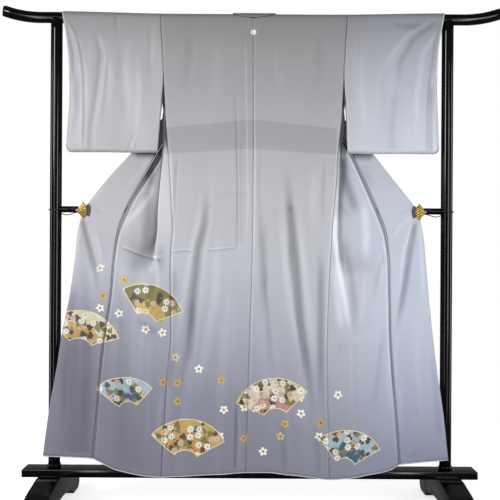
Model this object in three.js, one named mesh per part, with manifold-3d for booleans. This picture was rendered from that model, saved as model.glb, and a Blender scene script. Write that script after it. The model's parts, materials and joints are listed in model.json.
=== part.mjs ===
// A tomesode kimono hung by its shoulder fold over the rail of a lacquered kimono stand, with its back to
// the viewer and its fronts swung out to the sides, where a fan-shaped clip on an elastic loop holds each one.
// Millimetres. X runs along the rail, to the wearer's right, Y runs away from the viewer, and Z is up from
// the floor. "Out" is a distance from the middle plane along X on either side, and "drop" is a length of
// cloth measured from the ridge of the shoulder fold.
import * as THREE from "three";
import { mergeVertices } from "three/addons/utils/BufferGeometryUtils.js";
import Module from "manifold-3d";

const wasm = await Module();
wasm.setup();
const { clamp, lerp, smoothstep } = THREE.MathUtils;

// ---------------------------------------------------------------- driving sizes
const CLOTH = 1.5; // the lined silk
const SEAM_GAP = 0.3; // between two pieces at a seam
const BODY_LENGTH = 1603; // shoulder ridge to hem
const FRONT_WIDTH = 246; // one front, from the side seam to the overlap seam
const SLEEVE_SEAM = 230; // how far down the sleeve is sewn to the body, and how deep the cuff opens
const SIDE_SEAM_TOP = 385; // where the side seam starts, below the opening under the sleeve
const OVERLAP_TIP = 232; // where the overlap panel starts as a point
const COLLAR_END = 668; // where the collar stops on the front edge
const OVER_COLLAR_END = 380; // where the over-collar stops
const NECK_DROP = 28; // how far the neck is cut into the back
const HEM_ROLL = 4; // the roll of lining that shows under the hem

const RAIL_RADIUS = 19;
const RAIL_HALF = 863;
const RAIL_Z = 1695; // axis of the top rail at its middle
const RAIL_RISE = { sweep: 7, from: 250, to: 700 }; // a slight upward sweep along its length
const RAIL_TIP = { rise: 22, from: 735 }; // and a quicker curve up at each end
const MID_RAIL_RADIUS = 11;
const MID_RAIL_Z = 1035;
const POST_RADIUS = 20.3;
const POST_OUT = 680;
const BEAM = { out: 783, depth: 88, bottom: 112, height: 26 };
const FOOT = { out: 688, width: 80, halfLength: 290 };
const CLIP = { out: 602, z: 1031, radius: 34, ribs: 9, halfAngle: 0.98 };

const WRAP_RADIUS = RAIL_RADIUS + 1.4 + CLOTH / 2; // middle of the cloth where it turns over the rail
const WRAP = (WRAP_RADIUS * Math.PI) / 2; // cloth from the ridge to where it leaves the rail
const WRAP_DROPS = [0.75, 0.5, 0.25].map((share) => share * WRAP);
const BEAM_TOP = BEAM.bottom + BEAM.height;

// ---------------------------------------------------------------- tables of the drape
// Where the layers hang: Y of the back, of the first layer of a front, and of its outer layer.
const LEAN = [
  { drop: WRAP, back: -WRAP_RADIUS, inner: WRAP_RADIUS, outer: WRAP_RADIUS + 9 },
  { drop: 110, back: -21.5, inner: 17, outer: 26 },
  { drop: 230, back: -23, inner: 9, outer: 18 },
  { drop: 385, back: -26.5, inner: -3, outer: 6 },
  { drop: 490, back: -29, inner: -13, outer: -4 },
  { drop: 590, back: -32, inner: -22, outer: -14 },
  { drop: 650, back: -35, inner: -27, outer: -18.6 },
  { drop: 745, back: -38, inner: -30, outer: -19.6 },
  { drop: 860, back: -41, inner: -34, outer: -26 },
  { drop: 1200, back: -49, inner: -43, outer: -38 },
  { drop: 1603, back: -62, inner: -57, outer: -54 },
];

// X of the centre back seam.
const CENTRE = [
  { drop: 0, x: 3 },
  { drop: 450, x: 6 },
  { drop: 890, x: 4 },
  { drop: 1140, x: -3 },
  { drop: 1603, x: -14 },
];

// Each side's seams: the side seam, the strip of front that shows beside it before the front folds in
// behind the back, the overlap seam, and the free edge of the overlap panel.
const LEFT_SEAMS = [
  { drop: 0, side: 318, strip: 0, overlap: 67, edge: 67 },
  { drop: 230, side: 305, strip: 0, overlap: 194, edge: 196 },
  { drop: 385, side: 296, strip: 0, overlap: 270, edge: 322 },
  { drop: 490, side: 288, strip: 13, overlap: 324, edge: 411 },
  { drop: 590, side: 281, strip: 30, overlap: 379, edge: 499 },
  { drop: 690, side: 274, strip: 45, overlap: 431, edge: 573 },
  { drop: 760, side: 270, strip: 50, overlap: 457, edge: 597 },
  { drop: 850, side: 276, strip: 52, overlap: 471, edge: 606 },
  { drop: 1000, side: 275, strip: 50, overlap: 483, edge: 624 },
  { drop: 1140, side: 273, strip: 45, overlap: 502, edge: 648 },
  { drop: 1280, side: 286, strip: 40, overlap: 515, edge: 665 },
  { drop: 1430, side: 293, strip: 40, overlap: 524, edge: 687 },
  { drop: 1603, side: 302, strip: 40, overlap: 537, edge: 707 },
];
const RIGHT_SEAMS = [
  { drop: 0, side: 329, strip: 0, overlap: 80, edge: 80 },
  { drop: 230, side: 317, strip: 0, overlap: 201, edge: 203 },
  { drop: 385, side: 309, strip: 0, overlap: 285, edge: 333 },
  { drop: 490, side: 299, strip: 4, overlap: 344, edge: 418 },
  { drop: 590, side: 294, strip: 8, overlap: 392, edge: 495 },
  { drop: 690, side: 285, strip: 11, overlap: 435, edge: 570 },
  { drop: 760, side: 280, strip: 15, overlap: 462, edge: 592 },
  { drop: 850, side: 274, strip: 20, overlap: 474, edge: 602 },
  { drop: 1000, side: 267, strip: 20, overlap: 478, edge: 614 },
  { drop: 1140, side: 264, strip: 18, overlap: 481, edge: 627 },
  { drop: 1280, side: 265, strip: 16, overlap: 489, edge: 642 },
  { drop: 1430, side: 268, strip: 16, overlap: 501, edge: 661 },
  { drop: 1603, side: 272, strip: 16, overlap: 513, edge: 678 },
];

// Below the sleeve's seam and above the side seam a front's free edge stands further out than the back's.
const UNDERARM = [
  { drop: SLEEVE_SEAM, reach: 0 },
  { drop: 280, reach: 6.5 },
  { drop: 318, reach: 10 },
  { drop: 352, reach: 0 },
];

// How far the hem is lifted, by its distance out.
const LEFT_HEM = [
  { out: 14, lift: 15 },
  { out: 169, lift: 5 },
  { out: 302, lift: -2 },
  { out: 398, lift: 7 },
  { out: 460, lift: 21 },
  { out: 501, lift: 41 },
  { out: 541, lift: 57 },
  { out: 703, lift: 65 },
];
const RIGHT_HEM = [
  { out: 0, lift: 15 },
  { out: 70, lift: 15 },
  { out: 172, lift: 4 },
  { out: 258, lift: -7 },
  { out: 350, lift: -2 },
  { out: 428, lift: 12 },
  { out: 480, lift: 25 },
  { out: 513, lift: 42 },
  { out: 676, lift: 60 },
];

// Long soft folds: where each starts and ends, its half width, and how deep it is (below zero stands out).
const LEFT_FOLDS = [
  { from: 430, to: 1603, outFrom: 140, outTo: 262, width: 42, depth: 6 },
  { from: 900, to: 1603, outFrom: 60, outTo: 90, width: 45, depth: -6 },
  { from: 880, to: 1603, outFrom: 400, outTo: 425, width: 48, depth: 6 },
  { from: 735, to: 1250, outFrom: 566, outTo: 545, width: 34, depth: 5 },
];
const RIGHT_FOLDS = [
  { from: 430, to: 1603, outFrom: 126, outTo: 226, width: 42, depth: 6 },
  { from: 900, to: 1603, outFrom: 30, outTo: 120, width: 45, depth: -6 },
  { from: 880, to: 1603, outFrom: 372, outTo: 400, width: 48, depth: 6 },
  { from: 735, to: 1350, outFrom: 562, outTo: 520, width: 34, depth: 5 },
];

// The sleeves: where they meet the body, and the cuff edge.
const LEFT_SLEEVE = [
  { drop: 0, inside: 319, cuff: 662 },
  { drop: 70, inside: 315, cuff: 649 },
  { drop: 140, inside: 311, cuff: 639 },
  { drop: 230, inside: 307, cuff: 633 },
  { drop: 330, inside: 313, cuff: 633 },
  { drop: 436, inside: 322, cuff: 639 },
  { drop: 497, inside: 325, cuff: 642 },
];
const RIGHT_SLEEVE = [
  { drop: 0, inside: 330, cuff: 669 },
  { drop: 70, inside: 327, cuff: 656 },
  { drop: 140, inside: 323, cuff: 645 },
  { drop: 230, inside: 319, cuff: 641 },
  { drop: 330, inside: 325, cuff: 643 },
  { drop: 436, inside: 330, cuff: 647 },
  { drop: 497, inside: 332, cuff: 649 },
];
const SLEEVE_DEPTH = 496;
const SLEEVE_WIDTH = 312; // at the foot, where the cuff's corner is rounded
const SLEEVE_CORNER = 20; // radius at the foot of the cuff
const CUFF_HALF_GAP = 1.3; // half the space between the layers where the cuff is sewn
const SLEEVE_LEAN = [
  { drop: WRAP, back: -WRAP_RADIUS, front: WRAP_RADIUS },
  { drop: 230, back: -23, front: 9 },
  { drop: 385, back: -22.5, front: -6 },
  { drop: 497, back: -20, front: -15 },
];

const SIDES = [
  { name: "left", sign: -1, seams: LEFT_SEAMS, hem: LEFT_HEM, folds: LEFT_FOLDS, sleeve: LEFT_SLEEVE },
  { name: "right", sign: 1, seams: RIGHT_SEAMS, hem: RIGHT_HEM, folds: RIGHT_FOLDS, sleeve: RIGHT_SLEEVE },
];

// ---------------------------------------------------------------- small tools
// A column of a table at any value of its key, on a smooth curve through the rows.
function read(table, column, at, key = "drop") {
  const last = table.length - 1;
  if (at <= table[0][key]) return table[0][column];
  if (at >= table[last][key]) return table[last][column];
  const i = table.findIndex((row) => row[key] > at) - 1;
  const slope = (j) => {
    const before = table[Math.max(j - 1, 0)];
    const after = table[Math.min(j + 1, last)];
    return (after[column] - before[column]) / (after[key] - before[key]);
  };
  const span = table[i + 1][key] - table[i][key];
  const t = (at - table[i][key]) / span;
  const a = table[i][column];
  const b = table[i + 1][column];
  const bend = t * t * (3 - 2 * t);
  return lerp(a, b, bend) + span * t * (1 - t) * ((1 - t) * slope(i) - t * slope(i + 1));
}

const steps = (count) => Array.from({ length: count + 1 }, (_, i) => i / count);

// Signed volume of an indexed mesh, which is below zero when its faces point in.
function signedVolume(points, index) {
  let sum = 0;
  for (let i = 0; i < index.length; i += 3) {
    const [a, b, c] = [points[index[i]], points[index[i + 1]], points[index[i + 2]]];
    sum += a.dot(new THREE.Vector3().crossVectors(b, c));
  }
  return sum / 6;
}

function geometryOf(points, index) {
  if (signedVolume(points, index) < 0) index.reverse();
  const geometry = new THREE.BufferGeometry().setFromPoints(points);
  geometry.setIndex(index);
  geometry.computeVertexNormals();
  return geometry;
}

// A closed body between two grids of points of the same size. A ringed grid's last column meets its first.
function slab(front, back, ringed = false) {
  const rows = front.length;
  const columns = front[0].length;
  const id = (face, r, c) => (face * rows + r) * columns + (c % columns);
  const index = [];
  const quad = (a, b, c, d) => index.push(a, b, c, a, c, d);
  const spans = ringed ? columns : columns - 1;
  for (let r = 0; r < rows - 1; r++) {
    for (let c = 0; c < spans; c++) {
      quad(id(0, r, c), id(0, r, c + 1), id(0, r + 1, c + 1), id(0, r + 1, c));
      quad(id(1, r, c), id(1, r + 1, c), id(1, r + 1, c + 1), id(1, r, c + 1));
    }
    if (!ringed) {
      quad(id(0, r, 0), id(0, r + 1, 0), id(1, r + 1, 0), id(1, r, 0));
      quad(id(0, r, spans), id(1, r, spans), id(1, r + 1, spans), id(0, r + 1, spans));
    }
  }
  for (let c = 0; c < spans; c++) {
    quad(id(0, 0, c), id(1, 0, c), id(1, 0, c + 1), id(0, 0, c + 1));
    quad(id(0, rows - 1, c), id(0, rows - 1, c + 1), id(1, rows - 1, c + 1), id(1, rows - 1, c));
  }
  return geometryOf([...front.flat(), ...back.flat()], index);
}

// The points of a grid moved along its own normals.
function moved(grid, distance, ringed = false) {
  const rows = grid.length;
  const columns = grid[0].length;
  const column = (c) => (ringed ? (c + columns) % columns : clamp(c, 0, columns - 1));
  const row = (r) => grid[clamp(r, 0, rows - 1)];
  return grid.map((line, r) =>
    line.map((point, c) => {
      const along = row(r + 1)[c].clone().sub(row(r - 1)[c]);
      const across = line[column(c + 1)].clone().sub(line[column(c - 1)]);
      return point.clone().addScaledVector(along.cross(across).normalize(), distance);
    }),
  );
}

const clothWall = (grid, thickness, ringed = false) =>
  slab(moved(grid, thickness / 2, ringed), moved(grid, -thickness / 2, ringed), ringed);

// Points evenly round a centre, in the plane of two directions.
function ring(centre, first, second, radius, sides) {
  return steps(sides).slice(1).map((turn) => {
    const angle = turn * 2 * Math.PI;
    const point = centre.clone().addScaledVector(first, radius * Math.cos(angle));
    return point.addScaledVector(second, radius * Math.sin(angle));
  });
}

// A tube through rings of points, with flat ends unless its last ring meets its first.
function tube(rings, closed = false) {
  const sides = rings[0].length;
  const lengths = closed ? rings.length : rings.length - 1;
  const id = (r, c) => (r % rings.length) * sides + (c % sides);
  const index = [];
  for (let r = 0; r < lengths; r++) {
    for (let c = 0; c < sides; c++) {
      index.push(id(r, c), id(r, c + 1), id(r + 1, c + 1));
      index.push(id(r, c), id(r + 1, c + 1), id(r + 1, c));
    }
  }
  for (let c = 1; !closed && c < sides - 1; c++) {
    index.push(id(0, 0), id(0, c + 1), id(0, c));
    index.push(id(lengths, 0), id(lengths, c), id(lengths, c + 1));
  }
  return geometryOf(rings.flat(), index);
}

// A round bar along a path, or a ring of it when the path is closed.
function bar(curve, radius, count, sides, closed = false) {
  const frames = curve.computeFrenetFrames(count, closed);
  const rings = steps(count).map((t, i) =>
    ring(curve.getPointAt(t), frames.normals[i], frames.binormals[i], radius, sides),
  );
  return tube(closed ? rings.slice(1) : rings, closed);
}

// Between three.js geometry and manifold-3d solids, for joins and cuts.
function solidOf(geometry) {
  const bare = new THREE.BufferGeometry();
  bare.setAttribute("position", geometry.getAttribute("position"));
  bare.setIndex(geometry.getIndex());
  const merged = mergeVertices(bare, 1e-3);
  return new wasm.Manifold(
    new wasm.Mesh({
      numProp: 3,
      vertProperties: merged.attributes.position.array,
      triVerts: new Uint32Array(merged.index.array),
    }),
  );
}

function geometryFrom(solid) {
  const mesh = solid.getMesh();
  const geometry = new THREE.BufferGeometry();
  geometry.setAttribute("position", new THREE.BufferAttribute(mesh.vertProperties, 3));
  geometry.setIndex(new THREE.BufferAttribute(mesh.triVerts, 1));
  geometry.computeVertexNormals();
  return geometry;
}

const box = (from, to) =>
  new THREE.BoxGeometry(to[0] - from[0], to[1] - from[1], to[2] - from[2]).translate(
    (from[0] + to[0]) / 2,
    (from[1] + to[1]) / 2,
    (from[2] + to[2]) / 2,
  );

// ---------------------------------------------------------------- how cloth hangs
function railRise(out) {
  const tip = clamp((Math.abs(out) - RAIL_TIP.from) / (RAIL_HALF - RAIL_TIP.from), 0, 1);
  return RAIL_RISE.sweep * smoothstep(Math.abs(out), RAIL_RISE.from, RAIL_RISE.to) + RAIL_TIP.rise * tip ** 2;
}

// How far the long folds push the cloth away from the viewer.
function foldDepth(side, out, drop) {
  return side.folds.reduce((sum, fold) => {
    const along = (drop - fold.from) / (fold.to - fold.from);
    const middle = lerp(fold.outFrom, fold.outTo, clamp(along, 0, 1));
    const across = clamp((out - middle) / fold.width, -1, 1);
    return sum + fold.depth * smoothstep(along, 0, 0.35) * (0.5 + 0.5 * Math.cos(across * Math.PI));
  }, 0);
}

// A point of cloth at a distance out and a drop, in a layer at depth y once it has left the rail.
function hung(side, out, drop, y, wrapRadius = WRAP_RADIUS, face = 1) {
  const ridge = RAIL_Z + railRise(out) * (1 - smoothstep(drop, 0, 500));
  if (drop < WRAP) {
    const angle = drop / WRAP_RADIUS;
    const height = ridge + wrapRadius * Math.cos(angle);
    return new THREE.Vector3(side.sign * out, face * wrapRadius * Math.sin(angle), height);
  }
  const lift = read(side.hem, "lift", out, "out") * smoothstep(drop, 850, BODY_LENGTH);
  return new THREE.Vector3(side.sign * out, y, ridge - (drop - WRAP) + lift);
}

// ---------------------------------------------------------------- body
// Columns across a front: the strip beside the seam, the turn inwards, the pleat behind the back, the turn
// outwards, and the part that shows.
const COLUMNS = { strip: 1, turnIn: 3, pleat: 2, turnOut: 3, shown: 3 };
const COLUMN_COUNT = Object.values(COLUMNS).reduce((a, b) => a + b, 0);
const BACK_DROPS = [BODY_LENGTH, 1540, 1430, 1300, 1160, 1020, 880, 740, 600, 490, 385, 300, 230, 120, WRAP];
const LOWER_DROPS = [440, 490, 560, 630, 700, 760, 810, 860, 920, 1020, 1140, 1280, 1430, 1540, BODY_LENGTH];
const FRONT_DROPS = [WRAP, 60, 110, 165, 230, 280, 318, 352, 385, ...LOWER_DROPS];

const backY = (side, out, drop) => read(LEAN, "back", drop) + foldDepth(side, out, drop);

function backRow(side, drop) {
  const centre = side.sign * read(CENTRE, "x", drop) + SEAM_GAP / 2;
  const cut = Math.sqrt(Math.max(0, 1 - (drop / NECK_DROP) ** 2));
  const inside = lerp(centre, read(side.seams, "overlap", 0), cut);
  const outer = read(side.seams, "side", drop);
  return steps(COLUMN_COUNT).map((t) => {
    const out = lerp(outer, inside, t);
    return hung(side, out, drop, backY(side, out, drop), WRAP_RADIUS, -1);
  });
}

// Follows a strip of cloth from a start. Each stretch has a length, an end direction (0 is out, PI is back
// in) and a number of columns, and its direction turns evenly.
function follow(start, heading, stretches) {
  const points = [{ ...start }];
  let angle = heading;
  for (const { length, to, columns } of stretches) {
    const from = angle;
    const fine = 12;
    for (let i = 1; i <= columns * fine; i++) {
      angle = lerp(from, to, (i - 0.5) / (columns * fine));
      start.out += (Math.cos(angle) * length) / (columns * fine);
      start.y += (Math.sin(angle) * length) / (columns * fine);
      if (i % fine === 0) points.push({ ...start });
    }
    angle = to;
  }
  return points;
}

// One row across a front, from the side seam to the overlap seam, as distances out and depths. Its pleat
// takes up the width that doesn't show, and opens out below the clip.
function frontSection(side, drop) {
  const seam = read(side.seams, "side", drop);
  const overlap = read(side.seams, "overlap", drop);
  const inner = read(LEAN, "inner", drop);
  const outer = read(LEAN, "outer", drop);
  const back = read(LEAN, "back", drop);
  const sewn = smoothstep(drop, SLEEVE_SEAM, SIDE_SEAM_TOP + 20);
  const folded = 1 - smoothstep(drop, 770, 925);
  const turnInLength = ((inner - back) / 2) * Math.PI;
  const turnOutLength = ((outer - inner) / 2) * Math.PI;
  const strip = Math.max(read(side.seams, "strip", drop), 2);
  const hidden = FRONT_WIDTH - (overlap - seam) - turnOutLength;
  const pleat = Math.max(lerp(hidden / 2 - turnInLength, (hidden - turnInLength) / 2, sewn), 6);
  const turned = Math.PI * folded;
  const heading = turned * (1 - sewn);
  const rise = sewn > 0 ? (turnInLength / (Math.PI * sewn)) * (1 - Math.cos(Math.PI * sewn)) : 0;
  const startY = Math.max(inner - rise - strip * Math.sin(heading), back);
  const start = seam + SEAM_GAP + read(UNDERARM, "reach", drop);
  const points = follow({ out: start, y: startY }, heading, [
    { length: strip, to: heading, columns: COLUMNS.strip },
    { length: turnInLength, to: turned, columns: COLUMNS.turnIn },
    { length: pleat, to: turned, columns: COLUMNS.pleat },
  ]);
  const reached = points.at(-1).y - startY;
  const fit = folded === 1 && Math.abs(reached) > 1 ? (inner - startY) / reached : 1;
  points.forEach((point) => (point.y = startY + (point.y - startY) * fit));
  const turnOut = [{ length: turnOutLength, to: 0, columns: COLUMNS.turnOut }];
  points.push(...follow({ ...points.at(-1) }, turned, turnOut).slice(1));
  const turn = points.at(-1);
  for (let i = 1; i <= COLUMNS.shown; i++) {
    const t = i / COLUMNS.shown;
    points.push({ out: lerp(turn.out, overlap, t), y: lerp(turn.y, outer, t) });
  }
  return points;
}

// Near the rail a front is flat, and its pleat opens as it leaves the rail.
function frontRow(side, drop) {
  const open = smoothstep(drop, WRAP, 110);
  const section = frontSection(side, Math.max(drop, 60));
  const seam = read(side.seams, "side", drop);
  const overlap = read(side.seams, "overlap", drop);
  const inner = read(LEAN, "inner", drop);
  return steps(COLUMN_COUNT).map((t, i) => {
    const out = lerp(lerp(seam, overlap, t), section[i].out, open);
    const shown = smoothstep(drop, 800, 1000) * smoothstep(t, 0.2, 0.7);
    const folding = foldDepth(side, out, drop) * Math.max(shown, i === 0 && drop > 700);
    return hung(side, out, drop, lerp(inner, section[i].y, open) + folding);
  });
}

function bodyPanel(side) {
  const rows = BACK_DROPS.map((drop) => backRow(side, drop));
  rows.push(...WRAP_DROPS.map((drop) => backRow(side, drop)));
  rows.push(backRow(side, 0));
  rows.push(...WRAP_DROPS.toReversed().map((drop) => frontRow(side, drop)));
  rows.push(...FRONT_DROPS.map((drop) => frontRow(side, drop)));
  return clothWall(rows, CLOTH);
}

// ---------------------------------------------------------------- overlap panels
const OVERLAP_COLUMNS = 5;
const OVERLAP_DROPS = [240, 300, 385, ...LOWER_DROPS];

function overlapRow(side, drop) {
  const seam = read(side.seams, "overlap", drop) + CLOTH / 2 + SEAM_GAP;
  const edge = Math.max(read(side.seams, "edge", drop), seam + 4);
  const level = read(LEAN, "outer", drop);
  return steps(OVERLAP_COLUMNS).map((t) => {
    const out = lerp(seam, edge, t);
    return hung(side, out, drop, level + foldDepth(side, out, drop));
  });
}

const overlapPanel = (side) => clothWall(OVERLAP_DROPS.map((drop) => overlapRow(side, drop)), CLOTH);

// ---------------------------------------------------------------- sleeves
const SLEEVE_DROPS = [480, 425, 350, 270, 230, 160, 90, WRAP, ...WRAP_DROPS];
const SLEEVE_SECTIONS = [0, 0.12, 0.28, 0.46, 0.64, 0.8, 0.92, 0.965, 1];

// One section round a sleeve: up the back layer, over the rail, down the front layer, and round the bottom.
function sleeveSection(side, along) {
  const corner = clamp(1 - ((1 - along) * SLEEVE_WIDTH) / SLEEVE_CORNER, 0, 1);
  const depth = SLEEVE_DEPTH - SLEEVE_CORNER * (1 - Math.sqrt(1 - corner ** 2));
  const point = (drop, face) => {
    const inside = read(side.sleeve, "inside", drop);
    const out = lerp(inside, read(side.sleeve, "cuff", drop), along);
    const back = read(SLEEVE_LEAN, "back", drop);
    const front = read(SLEEVE_LEAN, "front", drop);
    const closed = smoothstep(along, 0.86, 1) * smoothstep(drop, SLEEVE_SEAM - 20, SLEEVE_SEAM + 50);
    const half = lerp((front - back) / 2, CUFF_HALF_GAP, closed);
    const loose = smoothstep(drop, 60, 300) * smoothstep(along, 0, 0.2) * (1 - smoothstep(along, 0.7, 1));
    const wave = 3 * loose * Math.sin(along * 9 + drop / 90);
    return hung(side, out, drop, (front + back) / 2 + face * half + wave, WRAP_RADIUS, face);
  };
  const scaled = SLEEVE_DROPS.map((drop) => (drop > SLEEVE_SEAM ? (drop * depth) / SLEEVE_DEPTH : drop));
  const backLayer = scaled.map((drop) => point(drop, -1));
  const frontLayer = [...scaled].reverse().map((drop) => point(drop, 1));
  const bottom = point(depth, 0);
  return [bottom, ...backLayer, point(0, 1), ...frontLayer];
}

const sleeve = (side) => clothWall(SLEEVE_SECTIONS.map((along) => sleeveSection(side, along)), CLOTH, true);

// ---------------------------------------------------------------- collar
// The collar's width as it lies: how far its free edge is in from its seam, and how far below it.
const COLLAR_FALL = [
  { drop: 0, inward: 48, down: 66 },
  { drop: 33, inward: 54, down: 52 },
  { drop: 80, inward: 50, down: 38 },
  { drop: 230, inward: 44, down: 33 },
  { drop: 668, inward: 38, down: 34 },
];
const NECK_FALL = 84; // width of the collar over the rail at the back of the neck
const COLLAR_COLUMNS = 7;

// A point of the collar, in the layer just outside the front, at a signed drop: below zero is on the back.
function collarPoint(side, out, drop, lift) {
  const open = smoothstep(drop, WRAP, 110);
  const y = lerp(read(LEAN, "inner", drop), read(LEAN, "outer", drop), open) + lift;
  return hung(side, out, Math.abs(drop), y, WRAP_RADIUS + lift, Math.sign(drop) || 1);
}

function collarRow(side, drop, lift) {
  const seam = drop < OVERLAP_TIP ? read(side.seams, "overlap", drop) : read(side.seams, "edge", drop);
  const inward = read(COLLAR_FALL, "inward", drop);
  const down = read(COLLAR_FALL, "down", drop);
  return steps(COLLAR_COLUMNS).map((t) => collarPoint(side, seam - inward * t, drop + down * t, lift));
}

// Round the back of the neck, from the middle of the back to the shoulder.
function neckRow(side, turn, lift) {
  const angle = (turn * Math.PI) / 2;
  const neck = read(side.seams, "overlap", 0);
  const first = COLLAR_FALL[0];
  const seam = { out: neck * Math.sin(angle), drop: -NECK_DROP * Math.cos(angle) };
  const free = {
    out: (neck - first.inward) * turn,
    drop: lerp(NECK_FALL - NECK_DROP, first.down, turn * turn),
  };
  return steps(COLLAR_COLUMNS).map((t) =>
    collarPoint(side, lerp(seam.out, free.out, t), lerp(seam.drop, free.drop, t), lift),
  );
}

const OVER_COLLAR_DROPS = [...WRAP_DROPS.toReversed(), WRAP, 60, 110, 165, 230, 300, 345, OVER_COLLAR_END];
const COLLAR = { thickness: 2, overThickness: 2.4 };

function overCollar() {
  const lift = CLOTH / 2 + COLLAR.overThickness / 2 + 1.5;
  const half = (side) => [
    ...OVER_COLLAR_DROPS.map((drop) => collarRow(side, drop, lift)).reverse(),
    ...[1, 0.75, 0.5, 0.25].map((turn) => neckRow(side, turn, lift)),
  ];
  const [left, right] = SIDES.map(half);
  return clothWall([...left, neckRow(SIDES[0], 0, lift), ...right.reverse()], COLLAR.overThickness);
}

function collarEnd(side) {
  const lift = CLOTH / 2 + COLLAR.thickness / 2 + 1;
  const count = 7;
  const rows = steps(count).map((t) => collarRow(side, lerp(OVER_COLLAR_END + 3, COLLAR_END, t), lift));
  return clothWall(rows, COLLAR.thickness);
}

// ---------------------------------------------------------------- hem rolls
// A roll of lining just under a panel's last row of points.
function hemRoll(points) {
  const half = HEM_ROLL / 2;
  const up = new THREE.Vector3(0, 0, 1);
  const path = points.map((point) => point.clone().addScaledVector(up, -half - SEAM_GAP));
  const rings = path.map((centre, i) => {
    const before = path[Math.max(i - 1, 0)];
    const after = path[Math.min(i + 1, path.length - 1)];
    const across = after.clone().sub(before).setZ(0).normalize();
    return ring(centre, up, new THREE.Vector3(across.y, -across.x, 0), half, 6);
  });
  return tube(rings);
}

// ---------------------------------------------------------------- stand
function railCurve() {
  const points = steps(48).map((t) => {
    const out = lerp(-RAIL_HALF, RAIL_HALF, t);
    return new THREE.Vector3(out, 0, RAIL_Z + railRise(out));
  });
  return new THREE.CatmullRomCurve3(points);
}

const topRail = (radius = RAIL_RADIUS) => bar(railCurve(), radius, 40, 14);

function post(side, radius = POST_RADIUS) {
  const top = RAIL_Z + railRise(POST_OUT);
  const bottom = BEAM_TOP + SEAM_GAP;
  const rod = new THREE.CylinderGeometry(radius, radius, top - bottom, 24);
  rod.rotateX(Math.PI / 2);
  rod.translate(side.sign * POST_OUT, 0, (top + bottom) / 2);
  return rod;
}

const fittedPost = (side) =>
  geometryFrom(solidOf(post(side)).subtract(solidOf(topRail(RAIL_RADIUS + SEAM_GAP))));

function midRail() {
  const rod = new THREE.CylinderGeometry(MID_RAIL_RADIUS, MID_RAIL_RADIUS, 2 * POST_OUT, 20);
  rod.rotateZ(Math.PI / 2);
  rod.translate(0, 0, MID_RAIL_Z);
  const clear = SIDES.map((side) => solidOf(post(side, POST_RADIUS + SEAM_GAP)));
  return geometryFrom(solidOf(rod).subtract(clear[0]).subtract(clear[1]));
}

// A low ring that hides where a post enters the beam.
function postCollar(side) {
  const inner = POST_RADIUS + SEAM_GAP;
  const outer = inner + 2.6;
  const height = 13;
  const profile = [
    [inner, 0],
    [outer, 0],
    [outer, height - 2],
    [outer - 1.5, height],
    [inner, height],
    [inner, 0],
  ].map(([r, z]) => new THREE.Vector2(r, z));
  const collar = new THREE.LatheGeometry(profile, 20).rotateX(Math.PI / 2);
  return collar.translate(side.sign * POST_OUT, 0, BEAM_TOP + SEAM_GAP);
}

// A long block with its edges eased.
function baseBeam() {
  const ease = 2;
  const shape = new THREE.Shape();
  const [y, z] = [BEAM.depth / 2, BEAM.height];
  const corners = [
    [-y + ease, 0],
    [y - ease, 0],
    [y, ease],
    [y, z - ease],
    [y - ease, z],
    [-y + ease, z],
    [-y, z - ease],
    [-y, ease],
  ];
  shape.setFromPoints(corners.map(([a, b]) => new THREE.Vector2(a, b)));
  const block = new THREE.ExtrudeGeometry(shape, { depth: 2 * BEAM.out, bevelEnabled: false, steps: 1 });
  block.rotateX(Math.PI / 2).rotateZ(Math.PI / 2);
  return block.translate(-BEAM.out, 0, BEAM.bottom);
}

// An arched foot: flat under the beam, curving down to a toe at each end, and hollowed underneath.
function foot(side) {
  const bevel = 4;
  const top = BEAM.bottom - SEAM_GAP;
  const half = [
    [60, top],
    [130, 101],
    [200, 89],
    [255, 67],
    [FOOT.halfLength - 8, 42],
    [FOOT.halfLength, 22],
    [FOOT.halfLength - 14, 6],
    [FOOT.halfLength - 40, 0],
    [178, 0],
    [152, 20],
    [80, 33],
    [0, 36],
  ];
  const mirrored = half.slice(0, -1).reverse().map(([y, z]) => [-y, z]);
  const outline = [...half, ...mirrored].map(([y, z]) => new THREE.Vector2(y, z));
  const shape = new THREE.Shape(outline);
  const body = new THREE.ExtrudeGeometry(shape, {
    depth: FOOT.width - 2 * bevel,
    bevelEnabled: true,
    bevelThickness: bevel,
    bevelSize: bevel,
    bevelOffset: -bevel,
    bevelSegments: 1,
    steps: 1,
  });
  body.rotateX(Math.PI / 2).rotateZ(Math.PI / 2);
  return body.translate(side.sign * FOOT.out - FOOT.width / 2 + bevel, 0, 0);
}

// ---------------------------------------------------------------- clips
const CLIP_FACE = -21.9; // back of the fan, just in front of the pad
const JAW = { front: -17.4, back: -15.2 };

const clipPoint = (side, radius, angle, y) =>
  new THREE.Vector3(
    side.sign * (CLIP.out - radius * Math.cos(angle)),
    y,
    CLIP.z + radius * Math.sin(angle),
  );

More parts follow.
